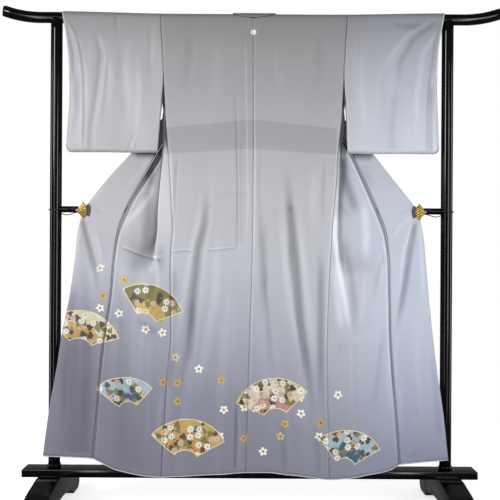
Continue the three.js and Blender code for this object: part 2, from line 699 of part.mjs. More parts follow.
// A pleated fan with a scalloped rim, a neck block behind its rivet and a flat jaw behind the cloth.
function clip(side) {
  const perRib = 2;
  const turns = steps(CLIP.ribs * perRib).map((t) => lerp(-CLIP.halfAngle, CLIP.halfAngle, t));
  const radii = [0.14, 0.42, 0.8, 1];
  const ribHeight = (i, share) => 1.6 * share * Math.sin((Math.PI * (i % perRib)) / perRib);
  const row = (share, relief) =>
    turns.map((angle, i) => {
      const scallop = share === 1 ? 1.6 * Math.sin((Math.PI * (i % perRib)) / perRib) : 0;
      const y = CLIP_FACE - (relief ? 1.8 + ribHeight(i, share) : 0);
      return clipPoint(side, CLIP.radius * share + scallop, angle, y);
    });
  const fan = slab(
    radii.map((share) => row(share, true)),
    radii.map((share) => row(share, false)),
  );
  const place = (out) => side.sign * out;
  const across = (a, b) => [Math.min(place(a), place(b)), Math.max(place(a), place(b))];
  const [neckLow, neckHigh] = across(CLIP.out - 12, CLIP.out - 4);
  const [jawLow, jawHigh] = across(CLIP.out - 40, CLIP.out - 4);
  const neck = box([neckLow, CLIP_FACE - 1.2, CLIP.z - 4], [neckHigh, JAW.back, CLIP.z + 4]);
  const jaw = box([jawLow, JAW.front, CLIP.z - 12], [jawHigh, JAW.back, CLIP.z + 12]);
  const rivet = new THREE.SphereGeometry(4.2, 8, 6);
  rivet.translate(place(CLIP.out - 5), CLIP_FACE - 1.5, CLIP.z);
  return geometryFrom(solidOf(fan).add(solidOf(neck)).add(solidOf(jaw)).add(solidOf(rivet)));
}

// The soft pad between the fan and the cloth, which reaches past the fan's rim.
function clipPad(side) {
  const turns = steps(6).map((t) => lerp(-0.5, 0.5, t));
  const plate = (y) => [18, 32, 47].map((radius) => turns.map((angle) => clipPoint(side, radius, angle, y)));
  return slab(plate(CLIP_FACE + 0.3), plate(CLIP_FACE + 1.2));
}

// The elastic loop: round the clip's neck, past the mid rail, and round the post. Heights are above the clip.
const LOOP_ROUTE = [
  { out: 586, y: -19.7, up: 0 },
  { out: 590, y: -19.8, up: 6.6 },
  { out: 602, y: -20.2, up: 6 },
  { out: 630, y: -22, up: 4 },
  { out: 660, y: -23, up: 3 },
  { out: 682, y: -22.8, up: 3 },
  { out: 697, y: -16.6, up: 3 },
  { out: 703.2, y: 0, up: 2 },
  { out: 697, y: 16.6, up: 1 },
  { out: 681, y: 23, up: -3 },
  { out: 662, y: 18, up: -10 },
  { out: 646, y: 4, up: -15 },
  { out: 628, y: -12, up: -14 },
  { out: 606, y: -19.4, up: -8 },
  { out: 590, y: -19.8, up: -6.6 },
];
const LOOP_RADIUS = 1.5;

function clipLoop(side) {
  const points = LOOP_ROUTE.map(({ out, y, up }) => new THREE.Vector3(side.sign * out, y, CLIP.z + up));
  return bar(new THREE.CatmullRomCurve3(points, true), LOOP_RADIUS, 36, 8, true);
}

// ---------------------------------------------------------------- materials and assembly
function surface(color, roughness, metalness = 0) {
  return new THREE.MeshStandardMaterial({ color, roughness, metalness });
}
const silk = () => surface(0xb4b7c4, 0.55);
const lining = () => surface(0xd2d4dd, 0.6);
const lacquer = () => surface(0x0b0b0d, 0.18);
const gold = () => surface(0xc9963a, 0.3, 1);
const padding = () => surface(0x9a9aa0, 0.7);
const elastic = () => surface(0x2b2346, 0.8);

const kimono = new THREE.Group();
const addTo = (group, name, geometry, material) => {
  const mesh = new THREE.Mesh(geometry, material);
  mesh.name = name;
  group.add(mesh);
};

for (const side of SIDES) {
  addTo(kimono, `body_${side.name}`, bodyPanel(side), silk());
  addTo(kimono, `okumi_${side.name}`, overlapPanel(side), silk());
  addTo(kimono, `sleeve_${side.name}`, sleeve(side), silk());
  addTo(kimono, `collar_${side.name}`, collarEnd(side), silk());
  addTo(kimono, `hem_roll_back_${side.name}`, hemRoll(backRow(side, BODY_LENGTH)), lining());
  addTo(kimono, `hem_roll_front_${side.name}`, hemRoll(frontRow(side, BODY_LENGTH)), lining());
  addTo(kimono, `hem_roll_okumi_${side.name}`, hemRoll(overlapRow(side, BODY_LENGTH)), lining());
}
addTo(kimono, "over_collar", overCollar(), silk());

const stand = new THREE.Group();
addTo(stand, "top_rail", topRail(), lacquer());
addTo(stand, "mid_rail", midRail(), lacquer());
addTo(stand, "base_beam", baseBeam(), lacquer());
for (const side of SIDES) {
  addTo(stand, `post_${side.name}`, fittedPost(side), lacquer());
  addTo(stand, `post_collar_${side.name}`, postCollar(side), lacquer());
  addTo(stand, `foot_${side.name}`, foot(side), lacquer());
  addTo(stand, `clip_${side.name}`, clip(side), gold());
  addTo(stand, `clip_pad_${side.name}`, clipPad(side), padding());
  addTo(stand, `clip_loop_${side.name}`, clipLoop(side), elastic());
}

const part = new THREE.Group();
part.add(kimono, stand);
export default part;
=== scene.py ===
"""The looks of the tomesode kimono on its lacquered stand.

Each cloth piece is a thin shell that follows its CAD solid. It uses the same tables and the same way of
hanging, sampled finely, and adds the creases, seams and rolled edges. Lengths in the tables are millimetres,
as in the CAD source. "Out" is a distance from the middle plane on either side, and "drop" is a length of
cloth from the shoulder fold.
"""

import json
import math

import bpy
import numpy as np
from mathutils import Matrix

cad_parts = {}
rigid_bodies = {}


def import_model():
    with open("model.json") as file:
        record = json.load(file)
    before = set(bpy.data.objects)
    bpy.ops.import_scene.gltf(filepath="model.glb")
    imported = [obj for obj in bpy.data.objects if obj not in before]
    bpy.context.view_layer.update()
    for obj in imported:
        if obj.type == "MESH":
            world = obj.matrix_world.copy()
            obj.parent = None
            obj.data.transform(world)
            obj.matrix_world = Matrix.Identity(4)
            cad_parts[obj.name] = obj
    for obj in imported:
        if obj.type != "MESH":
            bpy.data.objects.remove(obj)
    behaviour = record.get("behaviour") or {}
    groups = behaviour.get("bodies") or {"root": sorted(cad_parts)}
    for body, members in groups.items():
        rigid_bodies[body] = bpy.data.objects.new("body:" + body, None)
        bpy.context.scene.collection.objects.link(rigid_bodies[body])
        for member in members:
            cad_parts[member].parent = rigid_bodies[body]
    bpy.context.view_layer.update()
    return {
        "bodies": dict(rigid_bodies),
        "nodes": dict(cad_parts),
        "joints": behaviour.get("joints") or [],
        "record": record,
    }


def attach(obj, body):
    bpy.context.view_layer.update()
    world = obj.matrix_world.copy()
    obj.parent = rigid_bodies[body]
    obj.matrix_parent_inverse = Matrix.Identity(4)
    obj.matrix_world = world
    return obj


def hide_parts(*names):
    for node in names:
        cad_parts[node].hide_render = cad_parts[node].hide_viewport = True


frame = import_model()
MM = 0.001

# ---------------------------------------------------------------- sizes, as in the CAD source
CLOTH = 1.5
SEAM_GAP = 0.3
BODY_LENGTH = 1603
FRONT_WIDTH = 246
SLEEVE_SEAM = 230
SIDE_SEAM_TOP = 385
OVERLAP_TIP = 232
COLLAR_END = 668
OVER_COLLAR_END = 380
NECK_DROP = 28
HEM_ROLL = 4
RAIL_RADIUS = 19
RAIL_HALF = 863
RAIL_Z = 1695
RAIL_RISE = {"sweep": 7, "low": 250, "high": 700}
RAIL_TIP = {"rise": 22, "from": 735}
WRAP_RADIUS = RAIL_RADIUS + 1.4 + CLOTH / 2  # of the cloth's middle, just clear of the rail
WRAP = WRAP_RADIUS * math.pi / 2  # the drop at which the cloth leaves the rail
# The fan clips: where they are, and the depth of the face on which the fan lies.
CLIP = {"out": 602, "z": 1031, "radius": 34, "ribs": 9, "half_angle": 0.98, "face": -21.9}


def table(columns, *rows):
    """Rows of numbers as named columns."""
    return {name: np.array([row[i] for row in rows], float) for i, name in enumerate(columns.split())}


# Depths of the cloth: of the back, and of the fronts' inner and outer edges.
LEAN = table(
    "drop back inner outer",
    (WRAP, -WRAP_RADIUS, WRAP_RADIUS, WRAP_RADIUS + 9),
    (110, -21.5, 17, 26),
    (230, -23, 9, 18),
    (385, -26.5, -3, 6),
    (490, -29, -13, -4),
    (590, -32, -22, -14),
    (650, -35, -27, -18.6),
    (745, -38, -30, -19.6),
    (860, -41, -34, -26),
    (1200, -49, -43, -38),
    (1603, -62, -57, -54),
)
CENTRE = table("drop x", (0, 3), (450, 6), (890, 4), (1140, -3), (1603, -14))
UNDERARM = table("drop reach", (SLEEVE_SEAM, 0), (280, 6.5), (318, 10), (352, 0))
LEFT = {
    "name": "left",
    "sign": -1,
    "seams": table(
        "drop side strip overlap edge",
        (0, 318, 0, 67, 67),
        (230, 305, 0, 194, 196),
        (385, 296, 0, 270, 322),
        (490, 288, 13, 324, 411),
        (590, 281, 30, 379, 499),
        (690, 274, 45, 431, 573),
        (760, 270, 50, 457, 597),
        (850, 276, 52, 471, 606),
        (1000, 275, 50, 483, 624),
        (1140, 273, 45, 502, 648),
        (1280, 286, 40, 515, 665),
        (1430, 293, 40, 524, 687),
        (1603, 302, 40, 537, 707),
    ),
    "hem": table(
        "out lift", (14, 15), (169, 5), (302, -2), (398, 7), (460, 21), (501, 41), (541, 57), (703, 65)
    ),
    "folds": (
        {"from": 430, "to": 1603, "out_from": 140, "out_to": 262, "width": 42, "depth": 6},
        {"from": 900, "to": 1603, "out_from": 60, "out_to": 90, "width": 45, "depth": -6},
        {"from": 880, "to": 1603, "out_from": 400, "out_to": 425, "width": 48, "depth": 6},
        {"from": 735, "to": 1250, "out_from": 566, "out_to": 545, "width": 34, "depth": 5},
    ),
    "sleeve": table(
        "drop inside cuff",
        (0, 319, 662),
        (70, 315, 649),
        (140, 311, 639),
        (230, 307, 633),
        (330, 313, 633),
        (436, 322, 639),
        (497, 325, 642),
    ),
}
RIGHT = {
    "name": "right",
    "sign": 1,
    "seams": table(
        "drop side strip overlap edge",
        (0, 329, 0, 80, 80),
        (230, 317, 0, 201, 203),
        (385, 309, 0, 285, 333),
        (490, 299, 4, 344, 418),
        (590, 294, 8, 392, 495),
        (690, 285, 11, 435, 570),
        (760, 280, 15, 462, 592),
        (850, 274, 20, 474, 602),
        (1000, 267, 20, 478, 614),
        (1140, 264, 18, 481, 627),
        (1280, 265, 16, 489, 642),
        (1430, 268, 16, 501, 661),
        (1603, 272, 16, 513, 678),
    ),
    "hem": table(
        "out lift",
        *((0, 15), (70, 15), (172, 4), (258, -7), (350, -2), (428, 12), (480, 25), (513, 42), (676, 60)),
    ),
    "folds": (
        {"from": 430, "to": 1603, "out_from": 126, "out_to": 226, "width": 42, "depth": 6},
        {"from": 900, "to": 1603, "out_from": 30, "out_to": 120, "width": 45, "depth": -6},
        {"from": 880, "to": 1603, "out_from": 372, "out_to": 400, "width": 48, "depth": 6},
        {"from": 735, "to": 1350, "out_from": 562, "out_to": 520, "width": 34, "depth": 5},
    ),
    "sleeve": table(
        "drop inside cuff",
        (0, 330, 669),
        (70, 327, 656),
        (140, 323, 645),
        (230, 319, 641),
        (330, 325, 643),
        (436, 330, 647),
        (497, 332, 649),
    ),
}
SIDES = (LEFT, RIGHT)
SLEEVE_DEPTH = 496
SLEEVE_WIDTH = 312
SLEEVE_CORNER = 20
CUFF_HALF_GAP = 1.3
SLEEVE_LEAN = table(
    "drop back front", (WRAP, -WRAP_RADIUS, WRAP_RADIUS), (230, -23, 9), (385, -22.5, -6), (497, -20, -15)
)
COLLAR_FALL = table(
    "drop inward down", (0, 48, 66), (33, 54, 52), (80, 50, 38), (230, 44, 33), (668, 38, 34)
)
NECK_FALL = 84
COLLAR = {"thickness": 2, "over_thickness": 2.4}
SPREAD = (800, 950)  # drops over which a place across changes from a cloth width to a distance out
CLEAR_OF_FOLD = (4, 40)  # drops over which creases and their painted shading begin below the shoulder fold


# ---------------------------------------------------------------- small tools
def lerp(a, b, t):
    return a + (b - a) * t


def smoothstep(x, low, high):
    t = np.clip((x - low) / (high - low), 0, 1)
    return t * t * (3 - 2 * t)


def read(rows, column, at, key="drop"):
    """A column of a table at any values of its key, on a smooth curve through the rows."""
    x, y = rows[key], rows[column]
    last = len(x) - 1
    before = np.maximum(np.arange(last + 1) - 1, 0)
    after = np.minimum(np.arange(last + 1) + 1, last)
    slope = (y[after] - y[before]) / (x[after] - x[before])
    at = np.clip(at, x[0], x[-1])
    i = np.clip(np.searchsorted(x, at, side="right") - 1, 0, last - 1)
    span = x[i + 1] - x[i]
    t = (at - x[i]) / span
    bend = t * t * (3 - 2 * t)
    return lerp(y[i], y[i + 1], bend) + span * t * (1 - t) * ((1 - t) * slope[i] - t * slope[i + 1])


def rail_rise(out):
    tip = np.clip((np.abs(out) - RAIL_TIP["from"]) / (RAIL_HALF - RAIL_TIP["from"]), 0, 1)
    sweep = RAIL_RISE["sweep"] * smoothstep(np.abs(out), RAIL_RISE["low"], RAIL_RISE["high"])
    return sweep + RAIL_TIP["rise"] * tip**2


def fold_depth(side, out, drop):
    """How far the long soft folds push the cloth away from the viewer."""
    total = 0 * out
    for fold in side["folds"]:
        along = (drop - fold["from"]) / (fold["to"] - fold["from"])
        middle = lerp(fold["out_from"], fold["out_to"], np.clip(along, 0, 1))
        across = np.clip((out - middle) / fold["width"], -1, 1)
        total = total + fold["depth"] * smoothstep(along, 0, 0.35) * (0.5 + 0.5 * np.cos(across * np.pi))
    return total


def hung(side, out, drop, y, wrap_radius=WRAP_RADIUS, face=1):
    """Points of cloth at distances out and drops, in a layer at depth y once it has left the rail."""
    out, drop, y, face = np.broadcast_arrays(out, drop, y, face)
    ridge = RAIL_Z + rail_rise(out) * (1 - smoothstep(drop, 0, 500))
    angle = drop / WRAP_RADIUS
    lift = read(side["hem"], "lift", out, "out") * smoothstep(drop, 850, BODY_LENGTH)
    on_rail = drop < WRAP
    depth = np.where(on_rail, face * wrap_radius * np.sin(angle), y)
    height = np.where(on_rail, ridge + wrap_radius * np.cos(angle), ridge - (drop - WRAP) + lift)
    return np.stack([side["sign"] * out, depth, height], -1)


def levels(*spans):
    """Values from spans of (start, end, step), each about a step apart."""
    parts = [np.linspace(a, b, max(2, int(round(abs(b - a) / step)) + 1))[:-1] for a, b, step in spans]
    return np.concatenate(parts + [[spans[-1][1]]])


# ---------------------------------------------------------------- creases
def distance_to(path, u, v):
    """How far points are from a line through a few points, and their share of the way along it."""
    path = np.array(path, float)
    lengths = np.linalg.norm(np.diff(path, axis=0), axis=1)
    best = np.full(u.shape, np.inf)
    along = np.zeros(u.shape)
    done = 0
    for start, end, length in zip(path[:-1], path[1:], lengths):
        step = (end - start) / length
        t = np.clip((u - start[0]) * step[0] + (v - start[1]) * step[1], 0, length)
        away = np.hypot(u - start[0] - t * step[0], v - start[1] - t * step[1])
        nearer = away < best
        best = np.where(nearer, away, best)
        along = np.where(nearer, (done + t) / lengths.sum(), along)
        done += length
    return best, along


def creased(creases, u, v):
    """Height and painted shading of all the creases at cloth places (u, v).

    Each crease is (path, half width, height, shading, start fade, end fade). Its shading is painted shade
    below zero and a painted highlight above zero.
    """
    height, painted_shading = np.zeros(u.shape), np.zeros(u.shape)
    for path, width, rise, shade, fade_in, fade_out in creases:
        away, along = distance_to(path, u, v)
        across = 0.5 + 0.5 * np.cos(np.clip(away / width, 0, 1) * np.pi)
        ends = smoothstep(along, 0, fade_in + 1e-6) * (1 - smoothstep(along, 1 - fade_out - 1e-6, 1))
        height += rise * across * ends
        painted_shading += shade * across * ends
    return height, painted_shading


def line(distance, width):
    """1 on a line and 0 past its half width."""
    return 0.5 + 0.5 * np.cos(np.clip(np.abs(distance) / width, 0, 1) * np.pi)


# ---------------------------------------------------------------- shells
def normals_of(grid, ringed=False):
    """Unit normals of a grid of points, from its neighbours."""
    if ringed:
        across = np.roll(grid, -1, 1) - np.roll(grid, 1, 1)
    else:
        across = np.gradient(grid, axis=1)
    normal = np.cross(np.gradient(grid, axis=0), across)
    return normal / np.maximum(np.linalg.norm(normal, axis=-1, keepdims=True), 1e-9)


def ride_on_root(piece, slot, *nodes):
    """Makes a piece move with the root and hides the CAD nodes it replaces. Its slot is not used."""
    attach(piece, "root")
    if nodes:
        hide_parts(*nodes)
    return piece


def mesh_piece(name, points, faces, materials, face_material=None, cloth=None):
    """A smooth mesh object from points in millimetres. cloth gives each point's place on the flat cloth and,
    third, its painted shading.
    """
    mesh = bpy.data.meshes.new(name)
    mesh.from_pydata((np.asarray(points) * MM).tolist(), [], [tuple(map(int, face)) for face in faces])
    for material in materials:
        mesh.materials.append(material)
    if face_material is not None:
        mesh.polygons.foreach_set("material_index", np.asarray(face_material, np.int32))
    if cloth is not None:
        places = mesh.attributes.new("cloth", "FLOAT_VECTOR", "POINT")
        places.data.foreach_set("vector", (np.asarray(cloth) * (MM, MM, 1)).astype(np.float32).ravel())
    mesh.shade_smooth()
    mesh.validate()
    piece = bpy.data.objects.new(name, mesh)
    bpy.context.collection.objects.link(piece)
    return piece


def grid_faces(rows, columns, first, ringed):
    """Quads of a grid whose points start at first, row by row."""
    r, c = np.meshgrid(np.arange(rows - 1), np.arange(columns if ringed else columns - 1), indexing="ij")
    here = first + r * columns + c
    beside = first + r * columns + (c + 1) % columns
    return np.stack([here, beside, beside + columns, here + columns], -1).reshape(-1, 4)


def wall_faces(rows, columns, ringed=False):
    """Faces of a closed wall: those of its outer grid, of its inner grid and of the rims between them."""
    count = rows * columns
    outer = grid_faces(rows, columns, 0, ringed)
    inner = grid_faces(rows, columns, count, ringed)[:, ::-1]
    ids = np.arange(count).reshape(rows, columns)
    around = np.append(ids, ids[:, :1], 1) if ringed else ids
    edges = [(around[0], 1), (around[-1], -1)]
    if not ringed:
        edges += [(ids[:, 0], -1), (ids[:, -1], 1)]
    rims = []
    for edge, turn in edges:
        quads = np.stack([edge[:-1], edge[:-1] + count, edge[1:] + count, edge[1:]], -1)
        rims.append(quads[:, ::turn])
    return np.concatenate([outer, inner, *rims])


def shell(name, grid, cloth, thickness, materials, ringed=False, outer_sign=1):
    """A thin closed wall about a grid of points.

    Its outer face has the first material and its inner face has the second.
    """
    rows, columns = grid.shape[:2]
    offset = normals_of(grid, ringed) * thickness / 2 * outer_sign
    points = np.concatenate([(grid + offset).reshape(-1, 3), (grid - offset).reshape(-1, 3)])
    faces = wall_faces(rows, columns, ringed)[:, ::outer_sign]
    one_side = (rows - 1) * (columns if ringed else columns - 1)
    which = np.zeros(len(faces), int)
    which[one_side : 2 * one_side] = 1
    return mesh_piece(name, points, faces, materials, which, np.concatenate([cloth.reshape(-1, 3)] * 2))


def tube(name, path, radius, sides, material, closed=False):
    """A round tube along points, with a radius that may vary."""
    path = np.asarray(path, float)
    if closed:
        along = np.roll(path, -1, 0) - np.roll(path, 1, 0)
    else:
        along = np.gradient(path, axis=0)
    along /= np.linalg.norm(along, axis=1, keepdims=True)
    first = np.cross(along, (0, 0, 1))
    flat = np.linalg.norm(first, axis=1) < 0.05
    first[flat] = np.cross(along[flat], (1, 0, 0))
    first /= np.linalg.norm(first, axis=1, keepdims=True)
    second = np.cross(first, along)
    angles = np.linspace(0, 2 * math.pi, sides, endpoint=False)
    radii = np.broadcast_to(radius, len(path))[:, None, None]
    rings = path[:, None] + radii * (
        first[:, None] * np.cos(angles)[None, :, None] + second[:, None] * np.sin(angles)[None, :, None]
    )
    count = len(path)
    if closed:
        rings = np.concatenate([rings, rings[:1]])
    faces = grid_faces(len(rings), sides, 0, True)
    if closed:
        faces = np.where(faces >= count * sides, faces - count * sides, faces)
        rings = rings[:-1]
    faces = faces.tolist()
    if not closed:
        faces += [list(range(sides))[::-1], [(count - 1) * sides + i for i in range(sides)]]
    return mesh_piece(name, rings.reshape(-1, 3), faces, [material])


# ---------------------------------------------------------------- crease tables
# Each crease is its path as (place across, drop), its half width, its height (below zero is a trough), its
# painted shading (painted shade below zero, a painted highlight above), and the shares of its length over
# which it fades in and out. Places across are distances out on their side.
BACK_CREASES = {
    "left": (
        (((22, 60), (14, 450), (11, 660), (14, 800)), 5, 1.8, 0.16, 0.2, 0.1),
        (((60, 240), (53, 420), (48, 600), (48, 831)), 5, -2.4, -0.34, 0.35, 0.02),
        (((42, 400), (38, 640), (36, 826)), 9, 0.6, -0.1, 0.3, 0.1),
        (((290, 846), (225, 836), (188, 841)), 4, -2.0, -0.26, 0.0, 0.2),
        (((290, 839), (225, 829), (188, 834)), 4, 1.6, 0.18, 0.0, 0.2),
        (((160, 838), (106, 832), (48, 824)), 4, -2.0, -0.26, 0.2, 0.1),
        (((160, 832), (106, 825), (14, 818)), 4, 1.6, 0.2, 0.2, 0.1),
        (((255, 480), (262, 660), (266, 800)), 9, -1.8, -0.16, 0.3, 0.3),
        (((276, 470), (272, 640), (272, 830)), 5, 1.2, 0.14, 0.2, 0.2),
        (((163, 556), (176, 694), (203, 832), (229, 1005), (258, 1220)), 17, 2.6, 0.16, 0.3, 0.3),
        (
            ((148, 600), (158, 740), (180, 830), (201, 1039), (212, 1180), (250, 1330)),
            *(24, -3.4, -0.44, 0.25, 0.3),
        ),
        (((196, 990), (202, 1060), (206, 1130)), 18, -1.0, -0.14, 0.4, 0.4),
        (((148, 676), (142, 692)), 14, -0.6, -0.16, 0.3, 0.3),
        (((108, 690), (112, 850), (119, 1010), (156, 1211), (190, 1400)), 26, 2.4, 0.12, 0.4, 0.4),
        (((262, 880), (262, 960), (280, 1060)), 22, -1.2, -0.16, 0.3, 0.5),
        (((60, 900), (66, 1100), (84, 1300)), 30, 1.4, 0.06, 0.4, 0.4),
        (((48, 1300), (47, 1460), (50, 1590)), 8, -3.0, -0.36, 0.4, 0.0),
        (((34, 1330), (33, 1590)), 8, 1.6, 0.1, 0.4, 0.0),
        (((256, 1160), (289, 1332)), 16, -1.4, -0.2, 0.4, 0.4),
        (((270, 1240), (276, 1420), (292, 1590)), 22, 1.6, 0.1, 0.3, 0.2),
        (((96, 60), (118, 210), (112, 330)), 24, 1.4, 0.06, 0.5, 0.6),
        (((210, 30), (214, 160), (230, 330)), 26, -1.8, -0.08, 0.4, 0.5),
        (((0, 640), (80, 640), (150, 660)), 20, 0.0, -0.05, 0.2, 0.4),
    ),
    "right": (
        (((4, 80), (12, 486), (11, 814), (2, 1000)), 5, 1.8, 0.24, 0.2, 0.3),
        (((8, 830), (4, 1100), (-4, 1500)), 6, 1.6, 0.12, 0.2, 0.2),
        (((28, 420), (30, 700), (34, 900)), 12, -1.4, -0.1, 0.4, 0.4),
        (((103, 560), (108, 727), (129, 968), (158, 1140), (200, 1347)), 20, 2.6, 0.14, 0.4, 0.4),
        (
            ((118, 520), (134, 692), (156, 882), (171, 1071), (192, 1209), (226, 1430)),
            *(24, -3.4, -0.46, 0.25, 0.3),
        ),
        (((134, 676), (138, 704)), 18, -0.6, -0.2, 0.3, 0.3),
        (((166, 658), (183, 864), (212, 1105), (236, 1300)), 18, 2.2, 0.12, 0.3, 0.4),
        (((60, 700), (120, 700)), 16, 0.0, -0.06, 0.3, 0.2),
        (((62, 831), (50, 951), (61, 1106), (74, 1300)), 14, -1.6, -0.16, 0.3, 0.5),
        (((238, 790), (240, 1002), (240, 1180), (246, 1440)), 22, -2.2, -0.36, 0.25, 0.4),
        (((36, 690), (42, 860), (46, 1080)), 22, -1.4, -0.28, 0.35, 0.4),
        (((134, 770), (136, 870), (140, 960)), 17, -1.0, -0.2, 0.4, 0.5),
        (((220, 520), (214, 640), (216, 780)), 22, 1.2, 0.1, 0.4, 0.4),
        (((252, 500), (246, 660), (250, 780)), 12, -1.8, -0.16, 0.3, 0.4),
        (((110, 1390), (118, 1590)), 16, -1.6, -0.14, 0.4, 0.1),
        (((226, 1400), (238, 1590)), 14, -1.6, -0.14, 0.4, 0.1),
        (((270, 1350), (272, 1590)), 10, 1.2, 0.08, 0.4, 0.1),
        (((98, 60), (90, 200), (104, 340)), 22, 1.3, 0.06, 0.5, 0.6),
        (((220, 26), (232, 150), (226, 320)), 26, -1.6, -0.08, 0.4, 0.5),
    ),
}
FRONT_CREASES = {
    "left": (
        (((318, 880), (332, 857), (350, 850)), 7, 1.6, 0.3, 0.2, 0.3),
        (((336, 846), (328, 862)), 6, 1.2, 0.4, 0.3, 0.3),
        (((300, 852), (332, 857)), 4, 1.4, 0.26, 0.0, 0.0),
        (((306, 872), (322, 868), (340, 868)), 9, -2.0, -0.36, 0.2, 0.2),
        (((336, 866), (401, 846), (452, 826)), 5, -2.4, -0.34, 0.0, 0.15),
        (((346, 856), (401, 836), (450, 816)), 5, 1.8, 0.2, 0.1, 0.15),
        (((334, 500), (350, 640), (360, 781), (366, 880), (392, 950)), 34, -2.0, -0.36, 0.15, 0.4),
        (((346, 560), (343, 620)), 22, -1.0, -0.16, 0.3, 0.4),
        (((326, 560), (343, 642), (385, 694), (426, 736), (440, 799)), 16, 2.0, 0.3, 0.3, 0.3),
        (((404, 730), (398, 860), (404, 1000)), 40, -1.0, -0.2, 0.4, 0.4),
        (((312, 790), (306, 860), (312, 930)), 20, 0.0, -0.24, 0.4, 0.4),
        (((318, 876), (316, 960), (326, 1040)), 12, 1.6, 0.14, 0.1, 0.6),
        (((462, 880), (440, 1060), (446, 1240)), 22, -1.6, -0.08, 0.3, 0.5),
        (((380, 940), (372, 1140), (390, 1380)), 22, 1.6, 0.06, 0.4, 0.5),
        (((400, 1069), (318, 1120)), 26, -1.4, -0.24, 0.3, 0.1),
        (((390, 1012), (330, 1050)), 20, 1.2, 0.14, 0.3, 0.3),
        (((392, 1150), (320, 1180)), 16, 0.8, 0.08, 0.3, 0.3),
        (((330, 1040), (344, 1300), (352, 1590)), 20, 1.4, 0.05, 0.4, 0.2),
        (((296, 1290), (310, 1400), (318, 1500)), 12, 1.0, 0.16, 0.3, 0.5),
        (((410, 1240), (400, 1420), (404, 1590)), 100, 0.0, -0.14, 0.4, 0.0),
    ),
    "right": (
        (((314, 500), (325, 586), (357, 683), (369, 716)), 30, -2.4, -0.42, 0.1, 0.25),
        (((306, 440), (312, 560), (316, 680)), 34, 0.0, -0.26, 0.1, 0.5),
        (((300, 560), (310, 660)), 22, -1.0, -0.16, 0.2, 0.4),
        (((286, 690), (286, 777), (302, 880), (324, 1002), (346, 1140)), 16, 2.4, 0.56, 0.1, 0.3),
        (((286, 850), (300, 980), (314, 1130)), 26, 1.0, 0.34, 0.2, 0.3),
        (((324, 770), (338, 870), (356, 1002), (366, 1140)), 18, -2.2, -0.24, 0.2, 0.4),
        (((386, 640), (398, 780), (396, 900)), 22, 1.6, 0.26, 0.3, 0.4),
        (((392, 880), (386, 1000), (372, 1110)), 14, 1.4, 0.1, 0.3, 0.3),
        (((462, 830), (432, 930), (414, 1040)), 15, -1.8, -0.14, 0.2, 0.5),
        (((442, 820), (452, 900), (446, 980)), 14, 1.2, 0.14, 0.3, 0.5),
        (((346, 1145), (380, 1130), (440, 1110)), 16, 1.0, 0.08, 0.1, 0.5),
        (((290, 1160), (340, 1166)), 26, -1.2, -0.07, 0.3, 0.5),
        (((350, 1160), (344, 1280), (346, 1400)), 9, 1.2, 0.07, 0.1, 0.4),
        (((460, 1080), (440, 1240), (420, 1420)), 15, -1.8, -0.14, 0.3, 0.4),
        (((478, 1160), (470, 1300), (486, 1480)), 11, 1.4, 0.12, 0.3, 0.4),
    ),
}
OVERLAP_CREASES = {
    "left": (
        (((588, 712), (561, 817), (536, 910), (524, 1007)), 17, -3.6, -0.42, 0.12, 0.5),
        (((594, 720), (600, 834), (612, 921)), 12, 2.4, 0.12, 0.15, 0.6),
        (((540, 760), (526, 800), (504, 900)), 14, 2.0, 0.1, 0.3, 0.5),
        (((586, 690), (540, 690), (486, 716)), 10, -1.8, -0.08, 0.15, 0.5),
        (((582, 680), (530, 640), (470, 610)), 12, 1.8, 0.06, 0.2, 0.6),
        (((476, 836), (452, 824)), 5, 1.6, 0.18, 0.4, 0.0),
        (((620, 900), (628, 1000), (640, 1240)), 14, 1.4, 0.06, 0.3, 0.5),
        (((560, 980), (572, 1200), (590, 1480)), 24, 2.0, 0.06, 0.4, 0.4),
        (((620, 1160), (632, 1320), (640, 1560)), 16, -1.8, -0.06, 0.4, 0.3),
        (((300, 420), (380, 560), (470, 680)), 14, 1.2, 0.04, 0.4, 0.4),
        (((405, 498), (330, 500)), 26, -0.4, -0.5, 0.1, 0.0),
        (((606, 960), (618, 1080)), 26, 0.0, -0.16, 0.3, 0.3),
        (((604, 1060), (596, 1240), (592, 1420), (598, 1590)), 90, 0.0, -0.28, 0.3, 0.0),
    ),
    "right": (
        (((572, 712), (552, 827), (538, 931), (512, 1070), (491, 1157)), 18, -3.8, -0.42, 0.1, 0.4),
        (((562, 716), (528, 828), (504, 1001)), 12, 2.2, 0.18, 0.15, 0.5),
        (((584, 724), (590, 862), (596, 1040)), 12, 2.2, 0.16, 0.1, 0.5),
        (((582, 690), (536, 690), (486, 720)), 10, -1.8, -0.07, 0.15, 0.5),
        (((560, 704), (520, 736), (476, 800)), 9, 1.6, 0.1, 0.2, 0.4),
        (((578, 680), (524, 640), (466, 620)), 12, 1.8, 0.05, 0.2, 0.6),
        (((500, 1160), (508, 1300), (520, 1480)), 18, 1.4, 0.06, 0.4, 0.3),
        (((560, 1020), (572, 1260), (590, 1540)), 20, 1.8, 0.06, 0.4, 0.3),
        (((620, 1150), (632, 1330), (650, 1560)), 18, -1.8, -0.12, 0.4, 0.2),
        (((600, 1560), (540, 1590)), 18, -0.6, -0.1, 0.4, 0.2),
        (((420, 506), (340, 500)), 22, -0.4, -0.4, 0.1, 0.0),
        (((380, 530), (430, 620)), 20, 0.0, -0.12, 0.2, 0.4),
    ),
}
